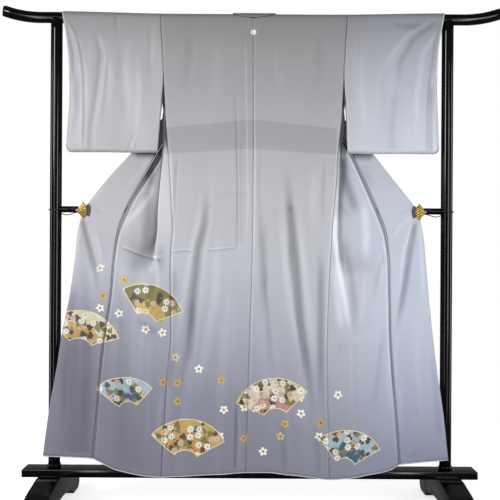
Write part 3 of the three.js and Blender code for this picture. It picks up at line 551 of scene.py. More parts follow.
SLEEVE_BACK_CREASES = {
    "left": (
        (((640, 50), (611, 103), (594, 178), (589, 250), (588, 350), (591, 494)), 7, 3.0, 0.22, 0.1, 0.0),
        (((628, 60), (598, 130), (581, 220), (577, 330), (579, 480)), 7, -2.2, -0.14, 0.2, 0.1),
        (((646, 60), (618, 150), (610, 300), (616, 480)), 12, -1.8, -0.12, 0.2, 0.2),
        (((540, 80), (522, 160), (535, 281), (555, 419), (558, 494)), 15, -4.0, -0.17, 0.2, 0.0),
        (((522, 90), (504, 170), (514, 290), (532, 430)), 12, 2.0, 0.06, 0.3, 0.3),
        (((500, 90), (480, 230), (492, 400)), 22, 2.0, 0.05, 0.4, 0.4),
        (((552, 100), (566, 240), (572, 380)), 26, 0.8, 0.12, 0.3, 0.3),
        (((440, 60), (450, 220), (430, 420)), 26, -2.2, -0.07, 0.4, 0.3),
        (((390, 120), (380, 300), (396, 470)), 18, 1.6, 0.05, 0.4, 0.3),
        (((350, 40), (352, 180), (344, 300)), 16, -1.8, -0.06, 0.3, 0.5),
        (((434, 494), (408, 440), (400, 408)), 6, -1.8, -0.14, 0.0, 0.6),
        (((420, 494), (400, 450), (396, 424)), 5, 1.6, 0.12, 0.0, 0.6),
        (((404, 494), (420, 456), (428, 430)), 5, 1.2, 0.1, 0.0, 0.6),
        (((620, 262), (612, 300), (610, 350)), 7, -1.6, -0.12, 0.2, 0.6),
        (((626, 280), (618, 330), (616, 390)), 6, 1.4, 0.1, 0.2, 0.6),
        (((470, 20), (466, 110)), 9, -1.6, -0.08, 0.0, 0.7),
        (((318, 300), (324, 480)), 5, 1.0, 0.12, 0.2, 0.0),
    ),
    "right": (
        (((654, 30), (632, 120), (618, 240), (610, 360), (612, 490)), 10, -2.6, -0.16, 0.1, 0.0),
        (((640, 240), (634, 360), (634, 490)), 8, 2.2, 0.3, 0.2, 0.0),
        (((622, 250), (620, 370), (622, 490)), 4, -1.6, -0.3, 0.2, 0.0),
        (((652, 60), (590, 150), (570, 300), (566, 470)), 19, 2.8, 0.22, 0.1, 0.4),
        (((640, 40), (560, 96), (512, 176), (496, 300)), 18, -3.2, -0.26, 0.1, 0.5),
        (((600, 60), (520, 60), (470, 40)), 18, -0.6, -0.24, 0.2, 0.3),
        (((630, 30), (530, 90), (452, 190), (424, 300)), 16, 2.4, 0.12, 0.2, 0.6),
        (((546, 190), (540, 330), (534, 490)), 18, 2.0, 0.06, 0.4, 0.2),
        (((500, 250), (484, 380), (484, 490)), 24, -2.4, -0.16, 0.3, 0.1),
        (((384, 80), (378, 260), (388, 450)), 24, 2.0, 0.12, 0.4, 0.4),
        (((452, 160), (456, 320), (460, 470)), 20, -1.8, -0.08, 0.4, 0.4),
        (((514, 8), (512, 90)), 7, 2.0, 0.1, 0.0, 0.8),
        (((392, 10), (394, 84)), 7, -1.8, -0.12, 0.0, 0.8),
        (((360, 60), (352, 200), (362, 330)), 14, 1.6, 0.06, 0.3, 0.5),
        (((332, 300), (334, 490)), 5, 1.0, 0.12, 0.2, 0.0),
    ),
}
SLEEVE_FRONT_CREASES = {
    "left": (
        (((630, 60), (590, 190), (572, 400)), 15, 3.0, 0.1, 0.2, 0.3),
        (((560, 50), (520, 200), (530, 420)), 18, -3.4, -0.16, 0.3, 0.3),
        (((470, 80), (462, 260), (480, 470)), 22, 2.4, 0.08, 0.4, 0.2),
        (((400, 60), (408, 240), (392, 420)), 22, -2.4, -0.08, 0.4, 0.4),
        (((352, 90), (350, 280)), 14, 1.6, 0.06, 0.4, 0.5),
    ),
    "right": (
        (((640, 70), (600, 200), (590, 420)), 14, -3.0, -0.14, 0.2, 0.3),
        (((580, 60), (546, 210), (540, 400)), 17, 3.0, 0.1, 0.3, 0.4),
        (((500, 70), (486, 240), (498, 450)), 22, -2.8, -0.12, 0.4, 0.3),
        (((430, 60), (438, 230), (424, 440)), 22, 2.2, 0.08, 0.4, 0.3),
        (((366, 90), (370, 270)), 14, -1.6, -0.06, 0.4, 0.5),
    ),
}
COLLAR_CREASES = (
    (((70, 10), (74, 60)), 6, 0.8, 0.06, 0.2, 0.4),
    (((150, 10), (160, 40)), 7, -0.8, -0.06, 0.2, 0.5),
    (((250, 8), (262, 34)), 7, 0.7, 0.06, 0.2, 0.5),
)
# The tight valley beside the overlap seam, in the front: its width and depth, and the strength of the painted
# shade in it.
VALLEY = {
    "left": table(
        "drop width depth shade",
        (400, 26, 4, 0.92),
        (500, 25, 6, 0.92),
        (560, 22, 6, 0.88),
        (575, 20, 6, 0.72),
        (613, 17, 6, 0.56),
        (650, 13, 5, 0.48),
        (725, 12, 4, 0.36),
        (762, 8, 3, 0.38),
        (800, 5, 2, 0.5),
        (870, 4, 1, 0.3),
        (1603, 4, 1, 0.3),
    ),
    "right": table(
        "drop width depth shade",
        (400, 14, 3, 0.8),
        (500, 8, 4, 0.5),
        (600, 9, 4, 0.4),
        (725, 9, 4, 0.36),
        (800, 6, 2, 0.34),
        (870, 4, 1, 0.3),
        (1603, 4, 1, 0.3),
    ),
}
# The drops over which the painted shade on the cloth folded in behind the strip ends.
PLEAT_ENDS = {"left": (775, 900), "right": (620, 740)}


# ---------------------------------------------------------------- body
# The stretches of a front: its columns here and its columns in the CAD source.
COLUMNS = {"strip": (12, 1), "turn in": (10, 3), "pleat": (16, 2), "turn out": (10, 3), "shown": (36, 3)}
STRETCH_COLUMNS = [count for count, _ in COLUMNS.values()]
COLUMN_COUNT = sum(STRETCH_COLUMNS)
# Each column's share of the CAD's columns, which says where it lies in the folded front.
FINE_ENDS = np.cumsum([0] + STRETCH_COLUMNS)
CAD_ENDS = np.cumsum([0] + [count for _, count in COLUMNS.values()])
FRONT_SHARE = np.interp(np.arange(COLUMN_COUNT + 1), FINE_ENDS, CAD_ENDS) / CAD_ENDS[-1]
SHOWN_FROM = CAD_ENDS[-2] / CAD_ENDS[-1]
EVEN_SHARE = np.linspace(0, 1, COLUMN_COUNT + 1)
BACK_DROPS = levels((BODY_LENGTH, 890, 9), (890, 800, 3), (800, 60, 9), (60, 0, 3))
FRONT_DROPS = levels(
    (0, 60, 5), (60, 700, 9), (700, 800, 6), (800, 880, 3), (880, 940, 6), (940, BODY_LENGTH, 10)
)
EDGE_REACH = 4  # how far from a seam the cloth starts to turn in
EDGE_SINK = 1.1  # and how deep
FOLLOW_STEPS = 6  # steps in each column of a turned strip


def back_points(side, drop):
    """Distances out of a row of the back, from the side seam to the centre seam or the neck."""
    centre = side["sign"] * read(CENTRE, "x", drop) + SEAM_GAP / 2
    cut = math.sqrt(max(0, 1 - (drop / NECK_DROP) ** 2))
    inside = lerp(centre, read(side["seams"], "overlap", 0), cut)
    share = lerp(FRONT_SHARE, EVEN_SHARE, smoothstep(drop, 0, 120))
    return lerp(read(side["seams"], "side", drop), inside, share)


def follow(out, y, heading, stretches):
    """Follows a strip of cloth through stretches of (length, end direction, columns), which turn evenly."""
    outs, ys = [out], [y]
    for length, to, columns in stretches:
        count = columns * FOLLOW_STEPS
        angles = lerp(heading, to, (np.arange(count) + 0.5) / count)
        run = out + np.cumsum(np.cos(angles)) * length / count
        rise = y + np.cumsum(np.sin(angles)) * length / count
        outs += list(run[FOLLOW_STEPS - 1 :: FOLLOW_STEPS])
        ys += list(rise[FOLLOW_STEPS - 1 :: FOLLOW_STEPS])
        out, y, heading = run[-1], rise[-1], to
    return np.array(outs), np.array(ys)


def front_section(side, drop):
    """One row across a front, from the side seam to the overlap seam: distances out and depths."""
    seam, overlap, strip = (float(read(side["seams"], name, drop)) for name in ("side", "overlap", "strip"))
    inner, outer, back = (float(read(LEAN, name, drop)) for name in ("inner", "outer", "back"))
    # The strip at the seam turns in, runs back as a hidden pleat and turns out to the cloth that shows.
    sewn = float(smoothstep(drop, SLEEVE_SEAM, SIDE_SEAM_TOP + 20))
    folded = 1 - float(smoothstep(drop, 770, 925))
    turn_in = (inner - back) / 2 * math.pi
    turn_out = (outer - inner) / 2 * math.pi
    strip = max(strip, 2)
    hidden = FRONT_WIDTH - (overlap - seam) - turn_out
    pleat = max(lerp(hidden / 2 - turn_in, (hidden - turn_in) / 2, sewn), 6)
    turned = math.pi * folded
    heading = turned * (1 - sewn)
    rise = turn_in / (math.pi * sewn) * (1 - math.cos(math.pi * sewn)) if sewn > 0 else 0
    start = max(inner - rise - strip * math.sin(heading), back)
    lengths, ends = (strip, turn_in, pleat), (heading, turned, turned)
    first = seam + SEAM_GAP + float(read(UNDERARM, "reach", drop))
    out, y = follow(first, start, heading, zip(lengths, ends, STRETCH_COLUMNS))
    reached = y[-1] - start
    if folded == 1 and abs(reached) > 1:
        y = start + (y - start) * (inner - start) / reached
    more_out, more_y = follow(out[-1], y[-1], turned, [(turn_out, 0, STRETCH_COLUMNS[3])])
    shown = 1 - (1 - np.linspace(0, 1, STRETCH_COLUMNS[4] + 1)[1:]) ** 1.5
    out = np.concatenate([out, more_out[1:], lerp(more_out[-1], overlap, shown)])
    y = np.concatenate([y, more_y[1:], lerp(more_y[-1], outer, shown)])
    return out, y


def front_row(side, drop):
    """A row of points of a front and its cloth widths from the side seam."""
    opened = smoothstep(drop, WRAP, 110)
    section_out, section_y = front_section(side, max(drop, 60))
    seam, overlap = (read(side["seams"], name, drop) for name in ("side", "overlap"))
    out = lerp(lerp(seam, overlap, FRONT_SHARE), section_out, opened)
    shown = smoothstep(drop, 800, 1000) * smoothstep(FRONT_SHARE, 0.2, 0.7)
    shown[0] = max(shown[0], drop > 700)
    y = lerp(read(LEAN, "inner", drop), section_y, opened) + fold_depth(side, out, drop) * shown
    width = np.concatenate([[0], np.cumsum(np.hypot(np.diff(out), np.diff(y)))])
    return hung(side, out, drop, y), out, width


def sunk_edges(grid, normal, *edges):
    """The grid with its sewn edges, which are columns of it, turned in."""
    for column in edges:
        gap = np.linalg.norm(grid - grid[:, column][:, None], axis=-1)
        grid = grid - normal * (EDGE_SINK * np.exp(-((gap / EDGE_REACH) ** 2)))[..., None]
    return grid


def seam_valley(side, distance, drops):
    """Height and painted shading of the tight valley beside the overlap seam, at distances in from it:
    painted shade in it and along its edges, and a painted highlight on the ridge beside it.
    """
    rows = VALLEY[side["name"]]
    width, depth, shade = (read(rows, column, drops) for column in ("width", "depth", "shade"))
    inside = smoothstep(distance, -1, 1) * (1 - smoothstep(distance, width - 2, width))
    edges = line(distance - width + 1.5, 2.5) + line(distance - 1, 2.5)
    ridge = line(distance - width - 5, 5.5) * smoothstep(drops, 420, 520)
    return 1.6 * ridge - depth * inside, 0.24 * ridge - shade * inside - 0.36 * edges


def body_rows(side):
    """Rows of points from the back hem to the front hem, their distances out and places across the cloth."""
    rows, outs, places = [], [], []
    for drop in BACK_DROPS:
        out = back_points(side, drop)
        y = read(LEAN, "back", drop) + fold_depth(side, out, drop)
        rows.append(hung(side, out, drop, y, WRAP_RADIUS, -1))
        outs.append(out)
        places.append(out)
    for drop in FRONT_DROPS[1:]:
        points, out, width = front_row(side, drop)
        rows.append(points)
        outs.append(out)
        places.append(lerp(read(side["seams"], "side", drop) + width, out, smoothstep(drop, *SPREAD)))
    return np.array(rows), np.array(outs), np.array(places)


def front_relief(side, out, drops, from_seam):
    """Height and painted shading of a front: creases, overlap seam, the strip at its side and its hidden
    pleat.
    """
    # Seen is 1 on the strip, on the cloth that shows and where the pleat has ended, and 0 in the pleat.
    in_strip = FRONT_SHARE[None] <= CAD_ENDS[1] / CAD_ENDS[-1] + 1e-9
    plain = smoothstep(drops, *PLEAT_ENDS[side["name"]])
    seen = np.maximum(plain, smoothstep(FRONT_SHARE, SHOWN_FROM, SHOWN_FROM + 0.1)[None])
    seen = np.where(in_strip, 1, seen)
    height, painted_shading = creased(FRONT_CREASES[side["name"]], out, drops)
    valley_height, valley_painted_shading = seam_valley(side, read(side["seams"], "overlap", drops) - out, drops)
    by_overlap = (EVEN_SHARE > 0.8)[None] & (drops > SIDE_SEAM_TOP)
    # Painted shade on the cloth of the pleat folded in behind the strip, and a painted highlight on the
    # strip.
    behind = -0.7 * (1 - seen) * ~in_strip * smoothstep(drops, 360, 430)
    strip_painted_highlight = 0.24 * in_strip * smoothstep(drops, 450, 520) * (1 - smoothstep(drops, 620, 900))
    # Painted shade in the underarm opening below the sleeve.
    underarm_painted_shade = -0.85 * smoothstep(drops, 230, 300) * (1 - smoothstep(drops, 440, 510))
    underarm_painted_shade = underarm_painted_shade * (1 - smoothstep(from_seam, 25, 60))
    # A painted highlight along the fold where the strip turns in.
    fold_painted_highlight = 0.3 * (np.arange(COLUMN_COUNT + 1) == STRETCH_COLUMNS[0]) * smoothstep(drops, 480, 560)
    fold_painted_highlight = fold_painted_highlight * (1 - smoothstep(drops, 860, 900))
    painted_shading = painted_shading * seen + behind + valley_painted_shading * by_overlap + strip_painted_highlight + underarm_painted_shade + fold_painted_highlight
    return (height + valley_height * by_overlap) * seen, painted_shading


def body_relief(side, out, drops):
    """Height and painted shading of a whole body, with painted shade and a painted highlight along its side
    seam and painted shade along its centre seam.
    """
    on_back = np.arange(len(out))[:, None] < len(BACK_DROPS)
    from_seam = out - read(side["seams"], "side", drops)
    back_height, back_painted_shading = creased(BACK_CREASES[side["name"]], out, drops)
    front_height, front_painted_shading = front_relief(side, out, drops, from_seam)
    clear = smoothstep(drops, *CLEAR_OF_FOLD)
    height = np.where(on_back, back_height, front_height) * clear
    painted_shading = np.where(on_back, back_painted_shading, front_painted_shading) * clear
    # Painted shade along the side seam and, lower down, a painted highlight just beside it.
    painted_shading -= 0.36 * line(from_seam, 3) * smoothstep(drops, SIDE_SEAM_TOP, 420)
    fading = 1 - 0.6 * smoothstep(drops, 1050, 1250)
    painted_shading += 0.26 * line(from_seam + 5, 4) * smoothstep(drops, 420, 560) * fading
    centre = side["sign"] * read(CENTRE, "x", drops)
    # Painted shade along the centre seam.
    painted_shading -= 0.2 * line(out - centre, 2.5) * on_back * smoothstep(drops, 60, 120)
    return height, painted_shading


def body_shell(side, silk, lining):
    name = side["name"]
    grid, out, across = body_rows(side)
    drops = np.concatenate([BACK_DROPS, FRONT_DROPS[1:]])[:, None] + 0 * out
    height, painted_shading = body_relief(side, out, drops)
    probe = (20, COLUMN_COUNT // 2, 1)  # the depth of a normal in the plain middle of the back
    normal = normals_of(grid)
    if normal[probe] > 0:
        normal = -normal
    grid = grid + normal * height[..., None]
    grid = sunk_edges(grid, normal * smoothstep(drops, 10, 60)[..., None], 0, COLUMN_COUNT)
    facing = 1 if normals_of(grid)[probe] < 0 else -1
    places = np.stack([side["sign"] * across, drops, painted_shading], -1)
    body = shell(f"silk_body_{name}", grid, places, CLOTH, [silk, lining], False, facing)
    ride_on_root(body, "silk", f"body_{name}")
    return body, grid[0], grid[-1]


# ---------------------------------------------------------------- overlap panels, sleeves and collar
OVERLAP_DROPS = levels((240, 700, 8), (700, 900, 5), (900, BODY_LENGTH, 9))
OVERLAP_COLUMNS = 40


def overlap_shell(side, silk, lining):
    share = np.linspace(0, 1, OVERLAP_COLUMNS + 1)
    drops = OVERLAP_DROPS[:, None] + 0 * share
    beside = SEAM_GAP + CLOTH / 2 * (1 - smoothstep(drops, 860, 960))
    seam = read(side["seams"], "overlap", drops) + beside
    edge = np.maximum(read(side["seams"], "edge", drops), seam + 4)
    out = lerp(seam, edge, share)
    grid = hung(side, out, drops, read(LEAN, "outer", drops) + fold_depth(side, out, drops))
    width = read(side["seams"], "side", drops) + FRONT_WIDTH + out - seam
    across = lerp(width, out, smoothstep(drops, *SPREAD))
    normal = normals_of(grid)
    facing = -1 if normal[20, 20, 1] > 0 else 1
    normal = normal * facing
    clear = smoothstep(drops, 250, 420) * smoothstep(edge - out, 0, 20)
    height, painted_shading = creased(OVERLAP_CREASES[side["name"]], out, drops)
    # Painted shade along the overlap seam and a faint painted highlight along the front edge; then painted
    # shade over the top of the panel.
    painted_shading = painted_shading - 0.75 * line(out - seam, 7) + 0.08 * line(edge - out, 4)
    painted_shading -= 0.5 * (1 - smoothstep(drops, 486, 520))
    places = np.stack([side["sign"] * across, drops, painted_shading], -1)
    grid = grid + normal * (height * clear)[..., None]
    grid = sunk_edges(grid, normal * smoothstep(drops, 260, 420)[..., None], 0, OVERLAP_COLUMNS)
    panel = shell(f"silk_okumi_{side['name']}", grid, places, CLOTH, [silk, lining], False, facing)
    ride_on_root(panel, "silk", f"okumi_{side['name']}")
    return panel, grid[-1]


SLEEVE_LEVELS = levels((480, 240, 8), (240, 40, 8), (40, 0, 5))
# How much lighter each sleeve's cloth is down its drop: partly the sleeves' own dyeing, partly painted light.
SLEEVE_DYE_AND_PAINTED_LIGHT = table(
    "drop left right", (0, 0.14, 0.04), (180, 0.26, 0.19), (310, 0.24, 0.24), (497, 0.08, 0.22)
)
SLEEVE_SHARES = np.concatenate([np.linspace(0, 0.9, 62), levels((0.905, 1, 0.008))])


def sleeve_points(side, along, drop, face):
    """Points of a sleeve's back (face -1) or front (face 1) layer, or of its bottom edge (face 0)."""
    inside = read(side["sleeve"], "inside", drop)
    out = lerp(inside, read(side["sleeve"], "cuff", drop), along)
    back, front = (read(SLEEVE_LEAN, name, drop) for name in ("back", "front"))
    closed = smoothstep(along, 0.86, 1) * smoothstep(drop, SLEEVE_SEAM - 20, SLEEVE_SEAM + 50)
    half = lerp((front - back) / 2, CUFF_HALF_GAP, closed)
    loose = smoothstep(drop, 60, 300) * smoothstep(along, 0, 0.2) * (1 - smoothstep(along, 0.7, 1))
    wave = 3 * loose * np.sin(along * 9 + drop / 90)
    return hung(side, out, drop, (front + back) / 2 + face * half + wave, WRAP_RADIUS, face), out


def sleeve_shell(side, silk, lining):
    corner = np.clip(1 - (1 - SLEEVE_SHARES) * SLEEVE_WIDTH / SLEEVE_CORNER, 0, 1)
    depth = SLEEVE_DEPTH - SLEEVE_CORNER * (1 - np.sqrt(1 - corner**2))
    drops, faces = [depth], [0 * depth]
    for face, order in ((-1, SLEEVE_LEVELS), (1, SLEEVE_LEVELS[::-1][1:])):
        for level in order:
            drops.append(np.where(level > SLEEVE_SEAM, level * depth / SLEEVE_DEPTH, level))
            faces.append(np.full(depth.shape, float(face)))
    drops, faces = np.array(drops).T, np.array(faces).T
    along = SLEEVE_SHARES[:, None] + 0 * drops
    grid, out = sleeve_points(side, along, drops, faces)
    normal = normals_of(grid, True)
    back_column = 4
    facing = -1 if normal[30, back_column, 1] > 0 else 1
    normal = normal * facing
    name = side["name"]
    back_height, back_painted_shading = creased(SLEEVE_BACK_CREASES[name], out, drops)
    front_height, front_painted_shading = creased(SLEEVE_FRONT_CREASES[name], out, drops)
    height = np.where(faces < 0, back_height, front_height)
    painted_shading = np.where(faces < 0, back_painted_shading, front_painted_shading) * smoothstep(drops, *CLEAR_OF_FOLD)
    # Each sleeve a little lighter down its drop, partly its own dyeing and partly painted light, with a
    # painted highlight along its bottom fold.
    painted_shading += read(SLEEVE_DYE_AND_PAINTED_LIGHT, name, drops) + 0.1 * line(drops - depth[:, None], 5)
    # The lining's own pale edge where it shows at the cuff opening.
    painted_shading += 0.9 * smoothstep(along, 0.985, 0.99) * (drops < SLEEVE_SEAM)
    held = smoothstep(drops, 6, 50) * (1 - 0.75 * smoothstep(along, 0.9, 1) * smoothstep(drops, 240, 300))
    grid = grid + normal * (height * held)[..., None]
    ruffle = 0.9 * np.sin(drops / 5.2) * smoothstep(drops, 236, 250) * (1 - smoothstep(drops, 250, 340))
    grid[..., 1] += ruffle * smoothstep(along, 0.95, 1)
    from_seam = out - read(side["sleeve"], "inside", drops)
    sink = np.exp(-((from_seam / EDGE_REACH) ** 2)) * smoothstep(drops, 10, 60)
    grid = grid - normal * (EDGE_SINK * sink)[..., None]
    places = np.stack([side["sign"] * out, drops, painted_shading], -1)
    sleeve = shell(f"silk_sleeve_{name}", grid, places, CLOTH, [silk, lining], True, facing)
    ride_on_root(sleeve, "silk", f"sleeve_{name}")
    return sleeve


COLLAR_COLUMNS = 14
OVER_COLLAR_DROPS = levels((0, 60, 5), (60, OVER_COLLAR_END, 8))


def collar_point(side, out, drop, lift):
    """Points of the collar, outside the front. Below zero a drop is on the back."""
    opened = smoothstep(drop, WRAP, 110)
    y = lerp(read(LEAN, "inner", drop), read(LEAN, "outer", drop), opened) + lift
    return hung(side, out, np.abs(drop), y, WRAP_RADIUS + lift, np.where(drop < 0, -1, 1))


def collar_row(side, drop, lift):
    seam = read(side["seams"], "overlap" if drop < OVERLAP_TIP else "edge", drop)
    inward, down = (read(COLLAR_FALL, name, drop) for name in ("inward", "down"))
    t = np.linspace(0, 1, COLLAR_COLUMNS + 1)
    return collar_point(side, seam - inward * t, drop + down * t, lift), np.stack([0 * t + drop, t], -1)


def neck_row(side, turn, lift):
    """A row round the back of the neck, from its middle (turn 0) to the shoulder (turn 1)."""
    angle = turn * math.pi / 2
    neck = float(read(side["seams"], "overlap", 0))
    inward, down = COLLAR_FALL["inward"][0], COLLAR_FALL["down"][0]
    t = np.linspace(0, 1, COLLAR_COLUMNS + 1)
    out = lerp(neck * math.sin(angle), (neck - inward) * turn, t)
    drop = lerp(-NECK_DROP * math.cos(angle), lerp(NECK_FALL - NECK_DROP, down, turn * turn), t)
    return collar_point(side, out, drop, lift), np.stack([0 * t - 100 * (1 - turn), t], -1)


def collar_shell(name, rows, thickness, silk, node):
    """A piece of collar from rows of (points, (run along it, share across it))."""
    grid = np.array([points for points, _ in rows])
    run = np.array([place for _, place in rows])
    normal = normals_of(grid)
    middle = len(rows) // 2
    facing = 1 if normal[middle, 3, 1] > 0 else -1
    width = COLLAR_FALL["inward"][0]
    height, painted_shading = creased(COLLAR_CREASES, np.abs(run[..., 0]), run[..., 1] * width)
    grid = grid + normal * facing * height[..., None]
    # The creases' painted shading, with the whole collar made a little darker.
    places = np.stack([run[..., 1] * width, run[..., 0], painted_shading - 0.12], -1)
    piece = shell(name, grid, places, thickness, [silk, silk], False, facing)
    return ride_on_root(piece, "silk", node)


def over_collar_shell(silk):
    lift = CLOTH / 2 + COLLAR["over_thickness"] / 2 + 1.5
    turns = np.linspace(1, 0, 17)
    halves = []
    for side in SIDES:
        rows = [collar_row(side, drop, lift) for drop in OVER_COLLAR_DROPS[::-1][:-1]]
        halves.append(rows + [neck_row(side, turn, lift) for turn in turns])
    left, right = halves
    rows = left + right[::-1][1:]
    return collar_shell("silk_over_collar", rows, COLLAR["over_thickness"], silk, "over_collar")


def collar_end_shell(side, silk):
    name = side["name"]
    lift = CLOTH / 2 + COLLAR["thickness"] / 2 + 1
    rows = [collar_row(side, drop, lift) for drop in levels((OVER_COLLAR_END + 3, COLLAR_END, 8))]
    return collar_shell(f"silk_collar_{name}", rows, COLLAR["thickness"], silk, f"collar_{name}")


def hem_roll(node, edge, material):
    """A roll of lining just under a panel's last row of points."""
    path = edge - np.array([0, 0, HEM_ROLL / 2 + SEAM_GAP])
    swell = 1 + 0.06 * np.sin(np.linspace(0, len(path) * 0.9, len(path)))
    roll = tube(f"{node}_silk", path, HEM_ROLL / 2 * swell, 10, material)
    return ride_on_root(roll, "lining", node)


# ---------------------------------------------------------------- clips
LOOP_ROUTE = (  # distance out, depth, height above the clip
    (586, -19.7, 0),
    (590, -19.8, 6.6),
    (602, -20.2, 6),
    (630, -22, 4),
    (660, -23, 3),
    (682, -22.8, 3),
    (697, -16.6, 3),
    (703.2, 0, 2),
    (697, 16.6, 1),
    (681, 23, -3),
    (662, 18, -10),
    (646, 4, -15),
    (628, -12, -14),
    (606, -19.4, -8),
    (590, -19.8, -6.6),
)
LOOP_RADIUS = 1.5
LOOP_STEPS = 12
KNOT_PLACES = (27, 29, 31)  # steps along the loop with a turn of the knot
KNOT_TURN = {"radius": 4.0, "thickness": 2.0}


def wrap_about(name, route, place, material):
    """A turn of the knot about the loop, just clear of it."""
    along = route[place + 1] - route[place - 1]
    along /= np.linalg.norm(along)
    first = np.cross(along, (0, 1, 0))
    first /= np.linalg.norm(first)
    second = np.cross(along, first)
    angles = np.linspace(0, 2 * math.pi, 24, endpoint=False)[:, None]
    path = route[place] + KNOT_TURN["radius"] * (first * np.cos(angles) + second * np.sin(angles))
    return tube(name, path, KNOT_TURN["thickness"], 10, material, True)


def closed_path(points, per_span):
    """A smooth closed line through points, evenly paced between them (a centripetal Catmull-Rom spline)."""
    points = np.asarray(points, float)
    path = []
    for i in range(len(points)):
        p = [points[(i + k) % len(points)] for k in (-1, 0, 1, 2)]
        t = np.cumsum([0] + [np.linalg.norm(p[k + 1] - p[k]) ** 0.5 for k in range(3)])
        for x in np.linspace(t[1], t[2], per_span, endpoint=False):
            a = [((t[k + 1] - x) * p[k] + (x - t[k]) * p[k + 1]) / (t[k + 1] - t[k]) for k in range(3)]
            b = [((t[k + 2] - x) * a[k] + (x - t[k]) * a[k + 1]) / (t[k + 2] - t[k]) for k in range(2)]
            path.append(((t[2] - x) * b[0] + (x - t[1]) * b[1]) / (t[2] - t[1]))
    return np.array(path)


def clip_points(side, radius, angle, y):
    """Points at a radius and angle from a clip's pivot."""
    out = CLIP["out"] - radius * np.cos(angle)
    return np.stack([side["sign"] * out, y + 0 * out, CLIP["z"] + radius * np.sin(angle) + 0 * y], -1)


def eased_block(name, low, high, ease, material):
    """A block between two corners with rounded edges."""
    low, high = np.minimum(low, high), np.maximum(low, high)
    corners = [[(low, high)[k >> axis & 1][axis] for axis in range(3)] for k in range(8)]
    faces = [(0, 2, 3, 1), (4, 5, 7, 6), (0, 1, 5, 4), (2, 6, 7, 3), (0, 4, 6, 2), (1, 3, 7, 5)]
    block = mesh_piece(name, corners, faces, [material])
    bevel = block.modifiers.new("ease", "BEVEL")
    bevel.width = ease * MM
    bevel.segments = 3
    return block


def fan_plate(side, gold):
    """A pleated fan that thickens toward its scalloped rim. Its grooves are marked for the material's painted
    shade.
    """
    per_rib, rings = 10, 14
    turns = np.linspace(-CLIP["half_angle"], CLIP["half_angle"], CLIP["ribs"] * per_rib + 1)
    share = np.linspace(0.14, 1, rings)[:, None]
    pleat = np.abs(np.sin(np.linspace(0, math.pi * CLIP["ribs"], len(turns))))[None]
    radius = CLIP["radius"] * share + 1.6 * pleat * smoothstep(share, 0.9, 1)
    lip = 0.5 * smoothstep(share, 0.93, 0.97) * (1 - smoothstep(share, 0.985, 1.0))
    front = CLIP["face"] - 1.0 - (0.8 + 1.5 * pleat) * share - lip
    grid = clip_points(side, radius, turns[None], (front + CLIP["face"]) / 2)
    painted_groove_shade = (1 - smoothstep(pleat, 0.3, 0.8)) * smoothstep(share, 0.15, 0.4)
    places = np.stack([radius, turns[None] * 30 + 0 * radius, painted_groove_shade], -1)
    half = (CLIP["face"] - front)[..., None] / 2 * np.array([0, 1, 0])
    points = np.concatenate([(grid - half).reshape(-1, 3), (grid + half).reshape(-1, 3)])
    faces = wall_faces(rings, len(turns))[:, :: -side["sign"]]
    cloth = np.concatenate([places.reshape(-1, 3)] * 2)
    fan = mesh_piece(f"gold_fan_{side['name']}", points, faces, [gold], None, cloth)
    ride_on_root(fan, "gold", f"clip_{side['name']}")


def clip_fittings(side, gold):
    """The neck behind the fan's root, the flat jaw on the cloth's edge and the domed rivet."""
    name, sign, z = side["name"], side["sign"], CLIP["z"]
    low, high, jaw_end = (sign * (CLIP["out"] - inward) for inward in (12, 4, 40))
    neck = eased_block(f"clip_neck_{name}", (low, -23.1, z - 4), (high, -15.2, z + 4), 0.8, gold)
    jaw = eased_block(f"clip_jaw_{name}", (jaw_end, -17.4, z - 12), (high, -15.2, z + 12), 0.9, gold)
    angles = np.linspace(0, math.pi / 2, 7)
    dome = [[sign * (CLIP["out"] - 3), -23.4 - 4.6 * math.sin(a), z] for a in angles]
    rivet = tube(f"clip_rivet_{name}", dome, 6.6 * np.cos(angles) + 0.05, 24, gold)
    for piece in (neck, jaw, rivet):
        ride_on_root(piece, "gold")


def clip_pad(side, padding):
    """The soft pad behind the fan, a little swollen in the middle."""
    arc = np.linspace(-0.5, 0.5, 25)[None]
    share = np.linspace(0, 1, 14)[:, None]
    swell = 0.12 * np.cos(arc * 2.6) * np.sin(share * math.pi)
    plate = clip_points(side, lerp(18, 47, share), arc, CLIP["face"] + 0.75 - swell)
    pad = shell(f"soft_pad_{side['name']}", plate, plate, 0.9, [padding, padding])
    ride_on_root(pad, "padding", f"clip_pad_{side['name']}")


def clip_loop(side, elastic):
    """The elastic loop round the post, and its knot."""
    name = side["name"]
    route = closed_path([(side["sign"] * out, y, CLIP["z"] + up) for out, y, up in LOOP_ROUTE], LOOP_STEPS)
    loop = tube(f"elastic_loop_{name}", route, LOOP_RADIUS, 14, elastic, True)
    ride_on_root(loop, "elastic", f"clip_loop_{name}")
    for i, place in enumerate(KNOT_PLACES):
        ride_on_root(wrap_about(f"elastic_knot_{name}_{i}", route, place, elastic), "elastic")


# ---------------------------------------------------------------- stand
POST_RADIUS = 20.3
POST_OUT = 680
MID_RAIL = {"radius": 11, "z": 1035}
BEAM = {"out": 783, "depth": 88, "bottom": 112, "height": 26}
FOOT = {"out": 688, "width": 80, "half_length": 290}
POST_COLLAR = {"radius": POST_RADIUS + SEAM_GAP + 2.6, "height": 13}


